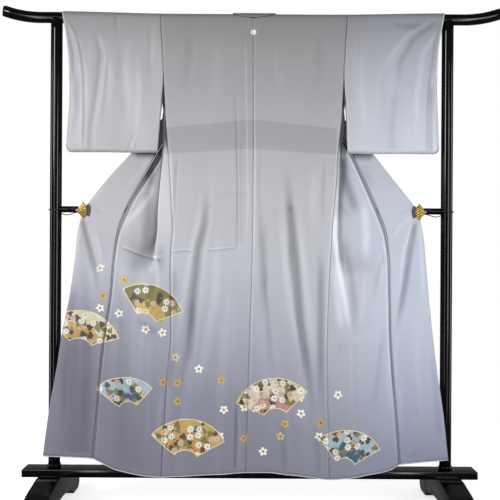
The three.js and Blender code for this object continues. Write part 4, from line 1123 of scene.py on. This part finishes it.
def top_rail(lacquer):
    out = np.linspace(-RAIL_HALF, RAIL_HALF, 121)
    ends = np.array([0, 0.7, 1.6, 2.6])
    out = np.concatenate([-RAIL_HALF - 0.6 + ends * 0.7, out[2:-2], (RAIL_HALF + 0.6 - ends * 0.7)[::-1]])
    path = np.stack([out, 0 * out, RAIL_Z + rail_rise(out)], -1)
    radius = np.full(len(out), float(RAIL_RADIUS))
    for i, shrink in enumerate((2.2, 1.0, 0.35, 0.0)):
        radius[i] = radius[-1 - i] = RAIL_RADIUS - shrink
    rail = tube("lacquer_top_rail", path, radius, 48, lacquer)
    return ride_on_root(rail, "lacquer", "top_rail")


def upright(name, side, radius, low, high, lacquer, node):
    height = np.linspace(low, high, 40)
    path = np.stack([side["sign"] * POST_OUT + 0 * height, 0 * height, height], -1)
    return ride_on_root(tube(name, path, radius, 48, lacquer), "lacquer", node)


def turned_ring(name, centre, profile, lacquer, node):
    """A ring turned about a vertical line from (radius, height) points."""
    sides = 48
    angles = np.linspace(0, 2 * math.pi, sides, endpoint=False)
    turn = np.stack([np.cos(angles), np.sin(angles), 0 * angles], -1)
    rings = [np.add(centre, r * turn + (0, 0, z)) for r, z in profile]
    count = len(profile) * sides
    faces = grid_faces(len(profile) + 1, sides, 0, True)
    faces = np.where(faces >= count, faces - count, faces)
    return ride_on_root(mesh_piece(name, np.concatenate(rings), faces, [lacquer]), "lacquer", node)


def foot(side, lacquer):
    top = BEAM["bottom"] - SEAM_GAP
    length = FOOT["half_length"]
    upper = [(0, top), (60, top), (130, 101), (200, 89), (255, 67), (length - 8, 42), (length, 22)]
    lower = [(length - 14, 6), (length - 40, 0.2), (210, 0), (178, 0.2), (152, 18), (80, 33), (0, 36)]
    half = upper + lower
    whole = half + [(-y, z) for y, z in half[-2:0:-1]]
    outline = closed_path([(y, z, 0) for y, z in whole], 6)[:, :2]
    outline[:, 1] = np.clip(outline[:, 1], 0, top)
    inward = np.array([0, 56.0]) - outline
    inward /= np.linalg.norm(inward, axis=1, keepdims=True)
    rounding = [(0, 4.0), (0.25, 1.7), (1.2, 0.35), (4.0, 0.0)]
    edges = rounding + [(FOOT["width"] - across, inset) for across, inset in rounding[::-1]]
    rings = []
    for across, inset in edges:
        flat = outline + inward * inset
        flat[:, 1] = np.where(outline[:, 1] < 1, np.maximum(flat[:, 1] * 0.2, 0), flat[:, 1])
        x = np.full(len(flat), side["sign"] * FOOT["out"] - FOOT["width"] / 2 + across)
        rings.append(np.column_stack([x, flat]))
    count, around = len(rings), len(outline)
    faces = grid_faces(count, around, 0, True).tolist()
    faces += [list(range(around))[::-1], [(count - 1) * around + i for i in range(around)]]
    piece = mesh_piece(f"lacquer_foot_{side['name']}", np.concatenate(rings), faces, [lacquer])
    return ride_on_root(piece, "lacquer", f"foot_{side['name']}")


def stand(lacquer):
    top_rail(lacquer)
    reach = POST_OUT - POST_RADIUS + 3
    along = np.linspace(-reach, reach, 90)
    path = np.stack([along, 0 * along, MID_RAIL["z"] + 0 * along], -1)
    rail = tube("lacquer_mid_rail", path, MID_RAIL["radius"], 40, lacquer)
    ride_on_root(rail, "lacquer", "mid_rail")
    low = (-BEAM["out"], -BEAM["depth"] / 2, BEAM["bottom"])
    high = (BEAM["out"], BEAM["depth"] / 2, BEAM["bottom"] + BEAM["height"])
    beam = eased_block("lacquer_base_beam", low, high, 2, lacquer)
    ride_on_root(beam, "lacquer", "base_beam")
    beam_top = BEAM["bottom"] + BEAM["height"] + SEAM_GAP
    for side in SIDES:
        name = side["name"]
        top = RAIL_Z + rail_rise(POST_OUT) - 4
        upright(f"lacquer_post_{name}", side, POST_RADIUS, beam_top, top, lacquer, f"post_{name}")
        inner, outer, height = POST_RADIUS + 0.2, POST_COLLAR["radius"], POST_COLLAR["height"]
        profile = [(inner, 0), (outer, 0), (outer, height - 2), (outer - 0.6, height - 0.7), (inner, height)]
        centre = (side["sign"] * POST_OUT, 0, beam_top)
        turned_ring(f"lacquer_collar_{name}", centre, profile, lacquer, f"post_collar_{name}")
        foot(side, lacquer)


# ---------------------------------------------------------------- materials
class Nodes:
    """Builds a material's nodes. Its calls take numbers, colours or other nodes' outputs."""

    def __init__(self, name):
        self.material = bpy.data.materials.new(name)
        self.material.use_nodes = True
        self.tree = self.material.node_tree
        self.tree.nodes.clear()
        self.output = self.tree.nodes.new("ShaderNodeOutputMaterial")

    def put(self, socket, value):
        if isinstance(value, bpy.types.NodeSocket):
            self.tree.links.new(value, socket)
        else:
            socket.default_value = value

    def add(self, kind, settings=None, **inputs):
        node = self.tree.nodes.new("ShaderNode" + kind)
        for key, value in (settings or {}).items():
            setattr(node, key, value)
        for key, value in inputs.items():
            self.put(node.inputs[key.replace("_", " ")], value)
        return node

    def object_place(self):
        return self.add("TexCoord").outputs["Object"]

    def cloth_place(self):
        """A point's place across and down the flat cloth, in metres, and its painted shading."""
        return self.add("Attribute", {"attribute_name": "cloth"}).outputs["Vector"]

    def math(self, operation, a, b=0.0, c=0.0):
        node = self.add("Math", {"operation": operation})
        for socket, value in zip(node.inputs, (a, b, c)):
            self.put(socket, value)
        return node.outputs[0]

    def vector(self, operation, a, b):
        node = self.add("VectorMath", {"operation": operation})
        self.put(node.inputs[0], a)
        self.put(node.inputs[1], b)
        return node.outputs[0]

    def length(self, x, y):
        return self.math("SQRT", self.math("MULTIPLY_ADD", x, x, self.math("MULTIPLY", y, y)))

    def step(self, value, low, high):
        """0 below low and 1 above high, with a soft change between them."""
        node = self.add("MapRange", {"interpolation_type": "SMOOTHSTEP"})
        for key, number in (("Value", value), ("From Min", low), ("From Max", high)):
            self.put(node.inputs[key], number)
        return node.outputs[0]

    def blend(self, share, a, b):
        node = self.add("Mix", {"data_type": "FLOAT"})
        for index, value in ((0, share), (2, a), (3, b)):
            self.put(node.inputs[index], value)
        return node.outputs[0]

    def ramp(self, value, *stops):
        """A colour that changes along stops of (position, colour), where a single number is a grey."""
        node = self.add("ValToRGB")
        elements = node.color_ramp.elements
        while len(elements) < len(stops):
            elements.new(0.5)
        for element, (position, colour) in zip(elements, stops):
            element.position = position
            element.color = (*np.broadcast_to(colour, 3), 1)
        self.put(node.inputs[0], value)
        return node.outputs[0]

    def mix(self, share, a, b, blend="MIX"):
        node = self.add("Mix", {"data_type": "RGBA", "blend_type": blend})
        for index, value in ((0, share), (6, a), (7, b)):
            if isinstance(value, tuple) and len(value) == 3:
                value = (*value, 1)
            self.put(node.inputs[index], value)
        return node.outputs[2]

    def noise(self, place, scale, detail=2.0, roughness=0.5):
        node = self.add("TexNoise", None, Vector=place, Scale=scale, Detail=detail, Roughness=roughness)
        return node.outputs[0]

    def scaled(self, place, x, y, z):
        node = self.add("Mapping", None, Vector=place, Scale=(x, y, z))
        return node.outputs[0]

    def shaded(self, colour, shade):
        return self.add("VectorMath", {"operation": "SCALE"}, Vector=colour, Scale=shade).outputs[0]

    def split(self, place):
        return self.add("SeparateXYZ", None, Vector=place).outputs

    def bump(self, height, strength, distance):
        return self.add("Bump", None, Height=height, Strength=strength, Distance=distance).outputs[0]

    def surface(self, **inputs):
        node = self.add("BsdfPrincipled")
        for key, value in inputs.items():
            if isinstance(value, tuple) and len(value) == 3 and "Normal" not in key:
                value = (*value, 1)
            self.put(node.inputs[key.replace("_", " ")], value)
        self.tree.links.new(node.outputs[0], self.output.inputs["Surface"])
        return self.material


# ---------------------------------------------------------------- dyed and gilt motifs
# Lengths on the flat cloth are metres here, across from the middle plane and down from the shoulder fold.
WHITE = (0.66, 0.65, 0.61)
CREAM = (0.54, 0.47, 0.36)
ROSE = (0.40, 0.20, 0.17)
OLD_GOLD = (0.42, 0.28, 0.09)
AMBER = (0.46, 0.21, 0.035)
MOSS = (0.17, 0.16, 0.05)
UMBER = (0.075, 0.048, 0.038)
PALE_BLUE = (0.28, 0.38, 0.42)
DEEP_BLUE = (0.03, 0.085, 0.17)
FANS = (  # pivot across, pivot drop, tilt, reach, half angle, colour far from the pivot, colour near it
    (-0.592, 1.210, 0.22, 0.158, 0.92, CREAM, OLD_GOLD),
    (-0.368, 1.095, 0.35, 0.146, 0.88, MOSS, OLD_GOLD),
    (-0.412, 1.400, -0.25, 0.124, 0.95, PALE_BLUE, DEEP_BLUE),
    (-0.222, 1.565, 0.12, 0.154, 0.98, OLD_GOLD, AMBER),
    (0.092, 1.430, -0.20, 0.154, 0.95, CREAM, ROSE),
    (0.318, 1.578, 0.28, 0.138, 0.92, PALE_BLUE, DEEP_BLUE),
)
FAN_INNER = 0.3  # share of a fan's reach at which its paper starts
FRAME = 0.0034  # width of the gilt line round each paper
FRAME_GILT = (0.62, 0.52, 0.30)
CREST = {"across": 0.0045, "drop": 0.079, "radius": 0.0095}  # the plain disc in the crest's place
UNDYED = (0.62, 0.61, 0.60)
BAND = {"half": 0.125, "right_end": 0.36}  # the blossoms' drifting band: half its height and where it stops
TUCK = {"top": 0.379, "foot": 0.481, "reach": 0.296}  # the inner tuck at the waist
LINING_CHANGE = 0.94  # drop at which the lining turns from pale to the ground's colour


def flowers(n, flat, scale, petals, size):
    """Flowers in random places: shape, heart, two random numbers and the middle of the nearest one."""
    settings = {"voronoi_dimensions": "2D"}
    cells = n.add("TexVoronoi", settings, Vector=flat, Scale=scale, Randomness=0.8).outputs
    x, y, _ = n.split(n.vector("SUBTRACT", flat, cells["Position"]))
    a, b, turn = n.split(cells["Color"])
    radius = n.length(x, y)
    spin = n.math("MULTIPLY_ADD", turn, 6.28, n.math("ARCTAN2", x, y))
    lobe = n.math("ABSOLUTE", n.math("COSINE", n.math("MULTIPLY", spin, petals / 2)))
    edge = n.math("MULTIPLY", n.math("MULTIPLY_ADD", lobe, 0.5, 0.5), size)
    shape = n.step(n.math("SUBTRACT", edge, radius), -0.0004, 0.0006)
    return shape, n.step(radius, size * 0.34, size * 0.2), a, b, cells["Position"]


def fan_paper(n, u, drop, fan):
    """How far inside a fan's paper a point is, its share of the way out, and its pleats' light and dark."""
    across, pivot, tilt, reach, half = fan
    x, up = n.math("SUBTRACT", u, across), n.math("SUBTRACT", pivot, drop)
    radius = n.length(x, up)
    turn = n.math("SUBTRACT", n.math("ARCTAN2", x, up), tilt)
    sides = n.math("MULTIPLY", n.math("SUBTRACT", half, n.math("ABSOLUTE", turn)), radius)
    ends = n.math("MINIMUM", n.math("SUBTRACT", radius, reach * FAN_INNER), n.math("SUBTRACT", reach, radius))
    pleats = n.math("PINGPONG", n.math("MULTIPLY", turn, 5.0 / half), 1.0)
    return n.math("MINIMUM", sides, ends), n.math("DIVIDE", radius, reach), pleats


def fan_papers(n, ground, u, drop, flat):
    """The ground with the fan papers on it, and where there is gold."""
    inside, share, pleats, far, near, mask = 0.0, 0.0, 0.0, CREAM, CREAM, 0.0
    for fan in FANS:
        depth, out, folds = fan_paper(n, u, drop, fan[:5])
        on = n.step(depth, 0.0, 0.0008)
        inside = n.blend(on, inside, depth)
        share = n.blend(on, share, out)
        pleats = n.blend(on, pleats, folds)
        far, near = n.mix(on, far, fan[5]), n.mix(on, near, fan[6])
        mask = n.math("MAXIMUM", mask, on)
    mist = n.noise(flat, 34.0, 3.0)
    height = n.math("MULTIPLY_ADD", mist, 0.9, share)
    paper = n.mix(n.step(height, 1.02, 1.12), near, far)
    leaf, _, kind, _, _ = flowers(n, n.vector("ADD", flat, (0.41, 0.17, 0)), 46.0, 3, 0.014)
    green = n.mix(n.step(kind, 0.7, 0.74), UMBER, MOSS)
    paper = n.mix(n.math("MULTIPLY", leaf, n.step(kind, 0.42, 0.46)), paper, green)
    bloom, heart, kind, warmth, _ = flowers(n, flat, 32.0, 8, 0.0128)
    petal = n.mix(n.step(warmth, 0.4, 0.75), WHITE, n.mix(0.5, ROSE, CREAM))
    petal = n.mix(heart, petal, OLD_GOLD)
    paper = n.mix(n.math("MULTIPLY", bloom, n.step(kind, 0.36, 0.4)), paper, petal)
    paper = n.mix(n.math("MULTIPLY", pleats, 0.16), paper, (0, 0, 0))
    frame = n.step(inside, FRAME + 0.0006, FRAME - 0.0006)
    paper = n.mix(frame, paper, FRAME_GILT)
    return n.mix(mask, ground, paper), n.math("MULTIPLY", mask, frame)


def scattered_blossoms(n, ground, flat):
    """White and gold blossoms drifting in a band across the skirt, and where there is gold."""
    shape, heart, chance, kind, middle = flowers(n, flat, 14.5, 5, 0.0155)
    u, drop, _ = n.split(middle)
    across = n.math("MULTIPLY_ADD", u, 0.7, 0.5)
    stops = (0.06, 0.47), (0.22, 0.52), (0.34, 0.63), (0.47, 0.70), (0.66, 0.725), (0.75, 0.71)  # half drops
    course = n.ramp(across, *stops)
    away = n.math("ABSOLUTE", n.math("MULTIPLY_ADD", course, -2.0, drop))
    in_band = n.step(away, BAND["half"], BAND["half"] - 0.005)
    within = n.math("MULTIPLY", in_band, n.step(u, BAND["right_end"], BAND["right_end"] - 0.01))
    shown = n.math("MULTIPLY", n.math("MULTIPLY", shape, within), n.step(chance, 0.3, 0.34))
    gilt = n.math("MAXIMUM", n.step(kind, 0.5, 0.54), heart)
    petal = n.mix(gilt, WHITE, n.mix(heart, (0.44, 0.30, 0.11), (0.22, 0.13, 0.04)))
    return n.mix(shown, ground, petal), n.math("MULTIPLY", shown, gilt)


def crest_disc(n, ground, u, drop):
    """The plain undyed disc on the centre seam."""
    away = n.length(n.math("SUBTRACT", u, CREST["across"]), n.math("SUBTRACT", drop, CREST["drop"]))
    return n.mix(n.step(away, CREST["radius"] + 0.0006, CREST["radius"] - 0.0006), ground, UNDYED)


def ground_dye_and_painted_light(n, u, drop):
    """The ground's colour down the cloth. It is partly its shaded dyeing, which darkens toward a violet hem
    and begins sooner on the left, and partly painted light: darker at the shoulders and brightest around the
    middle.
    """
    low = n.step(drop, 0.85, 1.1)
    across = n.math("MULTIPLY_ADD", u, 0.7, 0.5)
    lean = n.ramp(across, (0.04, 0.64), (0.22, 0.36), (0.5, 0.25), (0.78, 0.08), (0.97, 0.05))
    shifted = n.math("ADD", drop, n.math("MULTIPLY", low, n.math("MULTIPLY_ADD", lean, 0.9, -0.225)))
    ground = n.ramp(
        n.math("DIVIDE", shifted, 1.75),
        (0.0, (0.165, 0.164, 0.170)),
        (0.08, (0.238, 0.236, 0.247)),
        (0.20, (0.306, 0.305, 0.322)),
        (0.36, (0.386, 0.388, 0.408)),
        (0.50, (0.388, 0.400, 0.435)),
        (0.60, (0.324, 0.340, 0.384)),
        (0.70, (0.252, 0.262, 0.312)),
        (0.80, (0.186, 0.189, 0.238)),
        (0.92, (0.152, 0.152, 0.200)),
    )
    cool = n.mix(n.step(u, 0.22, 0.52), (1, 1, 1), (1.06, 1.12, 1.22))
    warm = n.mix(n.step(u, -0.25, -0.6), (1, 1, 1), (0.97, 0.95, 0.96))
    return n.mix(1.0, n.mix(1.0, ground, cool, "MULTIPLY"), warm, "MULTIPLY")


def waist_tuck(n, u, drop):
    """1 where the inner tuck lies behind the cloth of the waist. It slopes down toward the sides."""
    far = n.math("ABSOLUTE", u)
    top = n.math("MULTIPLY_ADD", far, 0.1, TUCK["top"])
    foot = n.math("MULTIPLY_ADD", far, 0.065, TUCK["foot"])
    below_top = n.step(n.math("SUBTRACT", drop, top), 0.0, 0.005)
    above_foot = n.step(n.math("SUBTRACT", drop, foot), 0.003, 0.0)
    inside = n.step(far, TUCK["reach"], TUCK["reach"] - 0.004)
    return n.math("MULTIPLY", n.math("MULTIPLY", below_top, above_foot), inside)


def silk_material():
    """Crepe silk with its shaded dyeing and painted light, its motifs, a band of painted shade over the inner
    tuck at the waist, and its folds' painted shading.
    """
    n = Nodes("shaded_silk")
    place = n.cloth_place()
    u, drop, painted_shading = n.split(place)
    flat = n.scaled(place, 1, 1, 0)
    ground = ground_dye_and_painted_light(n, u, drop)
    ground, gilt = scattered_blossoms(n, ground, flat)
    ground, gilt_frames = fan_papers(n, ground, u, drop, flat)
    ground = crest_disc(n, ground, u, drop)
    slub = n.noise(n.scaled(place, 60, 9, 0), 6.0, 4.0)
    patchy = n.noise(n.scaled(place, 7, 2.2, 0), 1.0, 3.0)
    # Painted shade in a band over the inner tuck at the waist and the folds' painted shading, with random
    # slubs and patches of the silk's own tone.
    shade = n.math("MULTIPLY_ADD", waist_tuck(n, u, drop), -0.17, n.math("ADD", painted_shading, 1.0))
    shade = n.math("ADD", shade, n.math("MULTIPLY_ADD", slub, 0.07, -0.035))
    shade = n.math("ADD", shade, n.math("MULTIPLY_ADD", patchy, 0.16, -0.08))
    shade = n.math("MAXIMUM", shade, 0.08)
    colour = n.shaded(ground, shade)
    weave = n.noise(n.scaled(place, 1800, 1100, 0), 1.0, 2.0)
    crepe = n.noise(place, 900.0, 2.0)
    height = n.math("MULTIPLY_ADD", weave, 0.6, crepe)
    return n.surface(
        Base_Color=colour,
        Metallic=n.math("MULTIPLY", n.math("MAXIMUM", gilt, gilt_frames), 0.35),
        Roughness=n.math("MULTIPLY_ADD", slub, 0.08, 0.42),
        Specular_IOR_Level=0.38,
        Sheen_Weight=0.15,
        Sheen_Roughness=0.35,
        Normal=n.bump(height, 0.12, 0.0003),
    )


def lining_material():
    n = Nodes("silk_lining")
    place = n.cloth_place()
    _, drop, painted_shading = n.split(place)
    below = n.step(drop, LINING_CHANGE, LINING_CHANGE + 0.004)
    colour = n.mix(below, (0.72, 0.71, 0.69), (0.30, 0.30, 0.37))
    # The painted shade of the cloth, but not its painted highlights, also darkens the lining.
    shade = n.math("MAXIMUM", n.math("MULTIPLY_ADD", n.math("MINIMUM", painted_shading, 0.0), 0.9, 1.0), 0.1)
    colour = n.shaded(colour, shade)
    weave = n.noise(n.scaled(place, 1500, 1500, 1), 1.0, 2.0)
    return n.surface(
        Base_Color=colour,
        Roughness=0.45,
        Sheen_Weight=0.2,
        Sheen_Roughness=0.4,
        Normal=n.bump(weave, 0.1, 0.0003),
    )


def roll_material():
    n = Nodes("hem_roll_silk")
    place = n.object_place()
    shade = n.noise(n.scaled(place, 40, 40, 40), 1.0, 3.0)
    return n.surface(
        Base_Color=n.mix(shade, (0.30, 0.30, 0.36), (0.44, 0.44, 0.50)),
        Roughness=0.42,
        Sheen_Weight=0.25,
        Normal=n.bump(n.noise(place, 1200.0), 0.1, 0.0003),
    )


def lacquer_material():
    n = Nodes("black_lacquer")
    place = n.object_place()
    worn = n.math("MULTIPLY", n.step(n.noise(place, 90.0, 3.0), 0.66, 0.74), 0.06)
    return n.surface(
        Base_Color=n.mix(worn, (0.0012, 0.0012, 0.0015), (0.012, 0.011, 0.010)),
        Roughness=0.13,
        Specular_IOR_Level=0.22,
    )


def gold_material():
    """Antique gold plate, with painted shade between the ribs."""
    n = Nodes("gold_plate")
    place = n.object_place()
    _, _, painted_groove_shade = n.split(n.cloth_place())
    tarnish = n.noise(place, 70.0, 4.0, 0.6)
    bright = n.ramp(tarnish, (0.3, (0.38, 0.25, 0.075)), (0.65, (0.52, 0.35, 0.11)))
    return n.surface(
        Base_Color=n.mix(painted_groove_shade, bright, (0.035, 0.016, 0.004)),
        Metallic=0.9,
        Roughness=n.math("MULTIPLY_ADD", tarnish, 0.2, 0.2),
        Normal=n.bump(n.noise(place, 500.0, 2.0), 0.12, 0.0005),
    )


def padding_material():
    n = Nodes("soft_pad")
    place = n.object_place()
    return n.surface(
        Base_Color=n.mix(n.noise(place, 300.0), (0.035, 0.034, 0.045), (0.07, 0.068, 0.085)),
        Roughness=0.75,
        Normal=n.bump(n.noise(place, 900.0), 0.4, 0.0005),
    )


def elastic_material():
    n = Nodes("braided_elastic")
    place = n.object_place()
    braid = n.add("TexWave", {"bands_direction": "DIAGONAL"}, Vector=place, Scale=420.0, Distortion=1.5)
    return n.surface(
        Base_Color=n.mix(braid.outputs[1], (0.004, 0.002, 0.02), (0.016, 0.008, 0.085)),
        Roughness=0.6,
        Normal=n.bump(braid.outputs[1], 0.6, 0.0004),
    )


def kimono(silk, lining, roll):
    for side in SIDES:
        name = side["name"]
        body, back_edge, front_edge = body_shell(side, silk, lining)
        panel, overlap_edge = overlap_shell(side, silk, lining)
        sleeve = sleeve_shell(side, silk, lining)
        collar = collar_end_shell(side, silk)
        edges = (("back", back_edge), ("front", front_edge), ("okumi", overlap_edge))
        rolls = [hem_roll(f"hem_roll_{part}_{name}", edge, roll) for part, edge in edges]
    band = over_collar_shell(silk)


AMBIENT = 0.34  # strength of the white surroundings as a light
GLOSS_AMBIENT = 0.14  # and in reflections


def add_camera():
    camera = bpy.data.objects.new("camera", bpy.data.cameras.new("camera"))
    camera.location = (-0.003, -3.0, 0.838)
    camera.rotation_euler = (math.pi / 2, -0.006, 0)
    camera.data.lens = 62.07
    camera.data.sensor_width = 36
    camera.data.shift_y = 0.034
    bpy.context.collection.objects.link(camera)
    bpy.context.scene.camera = camera


def area_light(name, place, target, size, power, diffuse=True):
    data = bpy.data.lights.new(name, "AREA")
    data.shape = "RECTANGLE"
    data.size, data.size_y = size
    data.energy = power
    light = bpy.data.objects.new(name, data)
    light.location = place
    aim = np.subtract(target, place)
    tilt = math.acos(-aim[2] / np.linalg.norm(aim))
    light.rotation_euler = (tilt, 0, math.atan2(aim[1], aim[0]) - math.pi / 2)
    light.visible_diffuse = diffuse
    bpy.context.collection.objects.link(light)


def add_lights():
    """Two soft lights on the cloth, and tall narrow ones that show only as highlights on the lacquer."""
    area_light("key", (-2.6, -3.0, 2.3), (0, 0, 1.0), (0.9, 1.4), 95)
    area_light("fill", (2.3, -3.4, 1.2), (0, 0, 0.8), (1.2, 1.8), 42)
    for name, x in (("left", -1), ("right", 1)):
        area_light(f"strip_{name}", (1.4 * x, -2.4, 1.0), (-0.68 * x, 0, 0.9), (0.18, 2.2), 18, False)
    for name, x in (("left", -1), ("right", 1)):
        area_light(f"edge_{name}", (3.2 * x, -0.2, 1.0), (0.68 * x, 0, 0.9), (0.6, 2.2), 34, False)


def add_floor():
    """A pale floor just under the feet. It isn't mirrored in the lacquer, so the stand stays black."""
    reach = 4000
    corners = [(-reach, -reach, -1), (reach, -reach, -1), (reach, reach, -1), (-reach, reach, -1)]
    floor = mesh_piece("floor", corners, [(0, 1, 2, 3)], [floor_material()])
    floor.visible_glossy = False


def world_light():
    """A white backdrop that lights the cloth softly and shows only faintly in the lacquer."""
    world = bpy.data.worlds.new("studio")
    world.use_nodes = True
    tree = world.node_tree
    background = tree.nodes["Background"]
    rays = tree.nodes.new("ShaderNodeLightPath")
    strength = tree.nodes.new("ShaderNodeMapRange")
    strength.inputs["To Min"].default_value = AMBIENT
    tree.links.new(rays.outputs["Is Camera Ray"], strength.inputs["Value"])
    dimmed = tree.nodes.new("ShaderNodeMath")
    dimmed.operation = "MULTIPLY_ADD"
    dimmed.inputs[1].default_value = GLOSS_AMBIENT - AMBIENT
    tree.links.new(rays.outputs["Is Glossy Ray"], dimmed.inputs[0])
    tree.links.new(strength.outputs[0], dimmed.inputs[2])
    tree.links.new(dimmed.outputs[0], background.inputs["Strength"])
    background.inputs["Color"].default_value = (1, 1, 1, 1)
    bpy.context.scene.world = world


def floor_material():
    n = Nodes("pale_floor")
    place = n.object_place()
    pale = n.mix(n.noise(place, 3.0), (0.86, 0.86, 0.86), (0.9, 0.9, 0.9))
    return n.surface(Base_Color=pale, Roughness=0.8, Emission_Color=(1, 1, 1), Emission_Strength=0.7)


add_camera()
add_lights()
world_light()
bpy.context.scene.view_settings.view_transform = "Standard"
add_floor()
kimono(silk_material(), lining_material(), roll_material())
stand(lacquer_material())
gold, padding, elastic = gold_material(), padding_material(), elastic_material()
for each_side in SIDES:
    fan_plate(each_side, gold)
    clip_fittings(each_side, gold)
    clip_pad(each_side, padding)
    clip_loop(each_side, elastic)
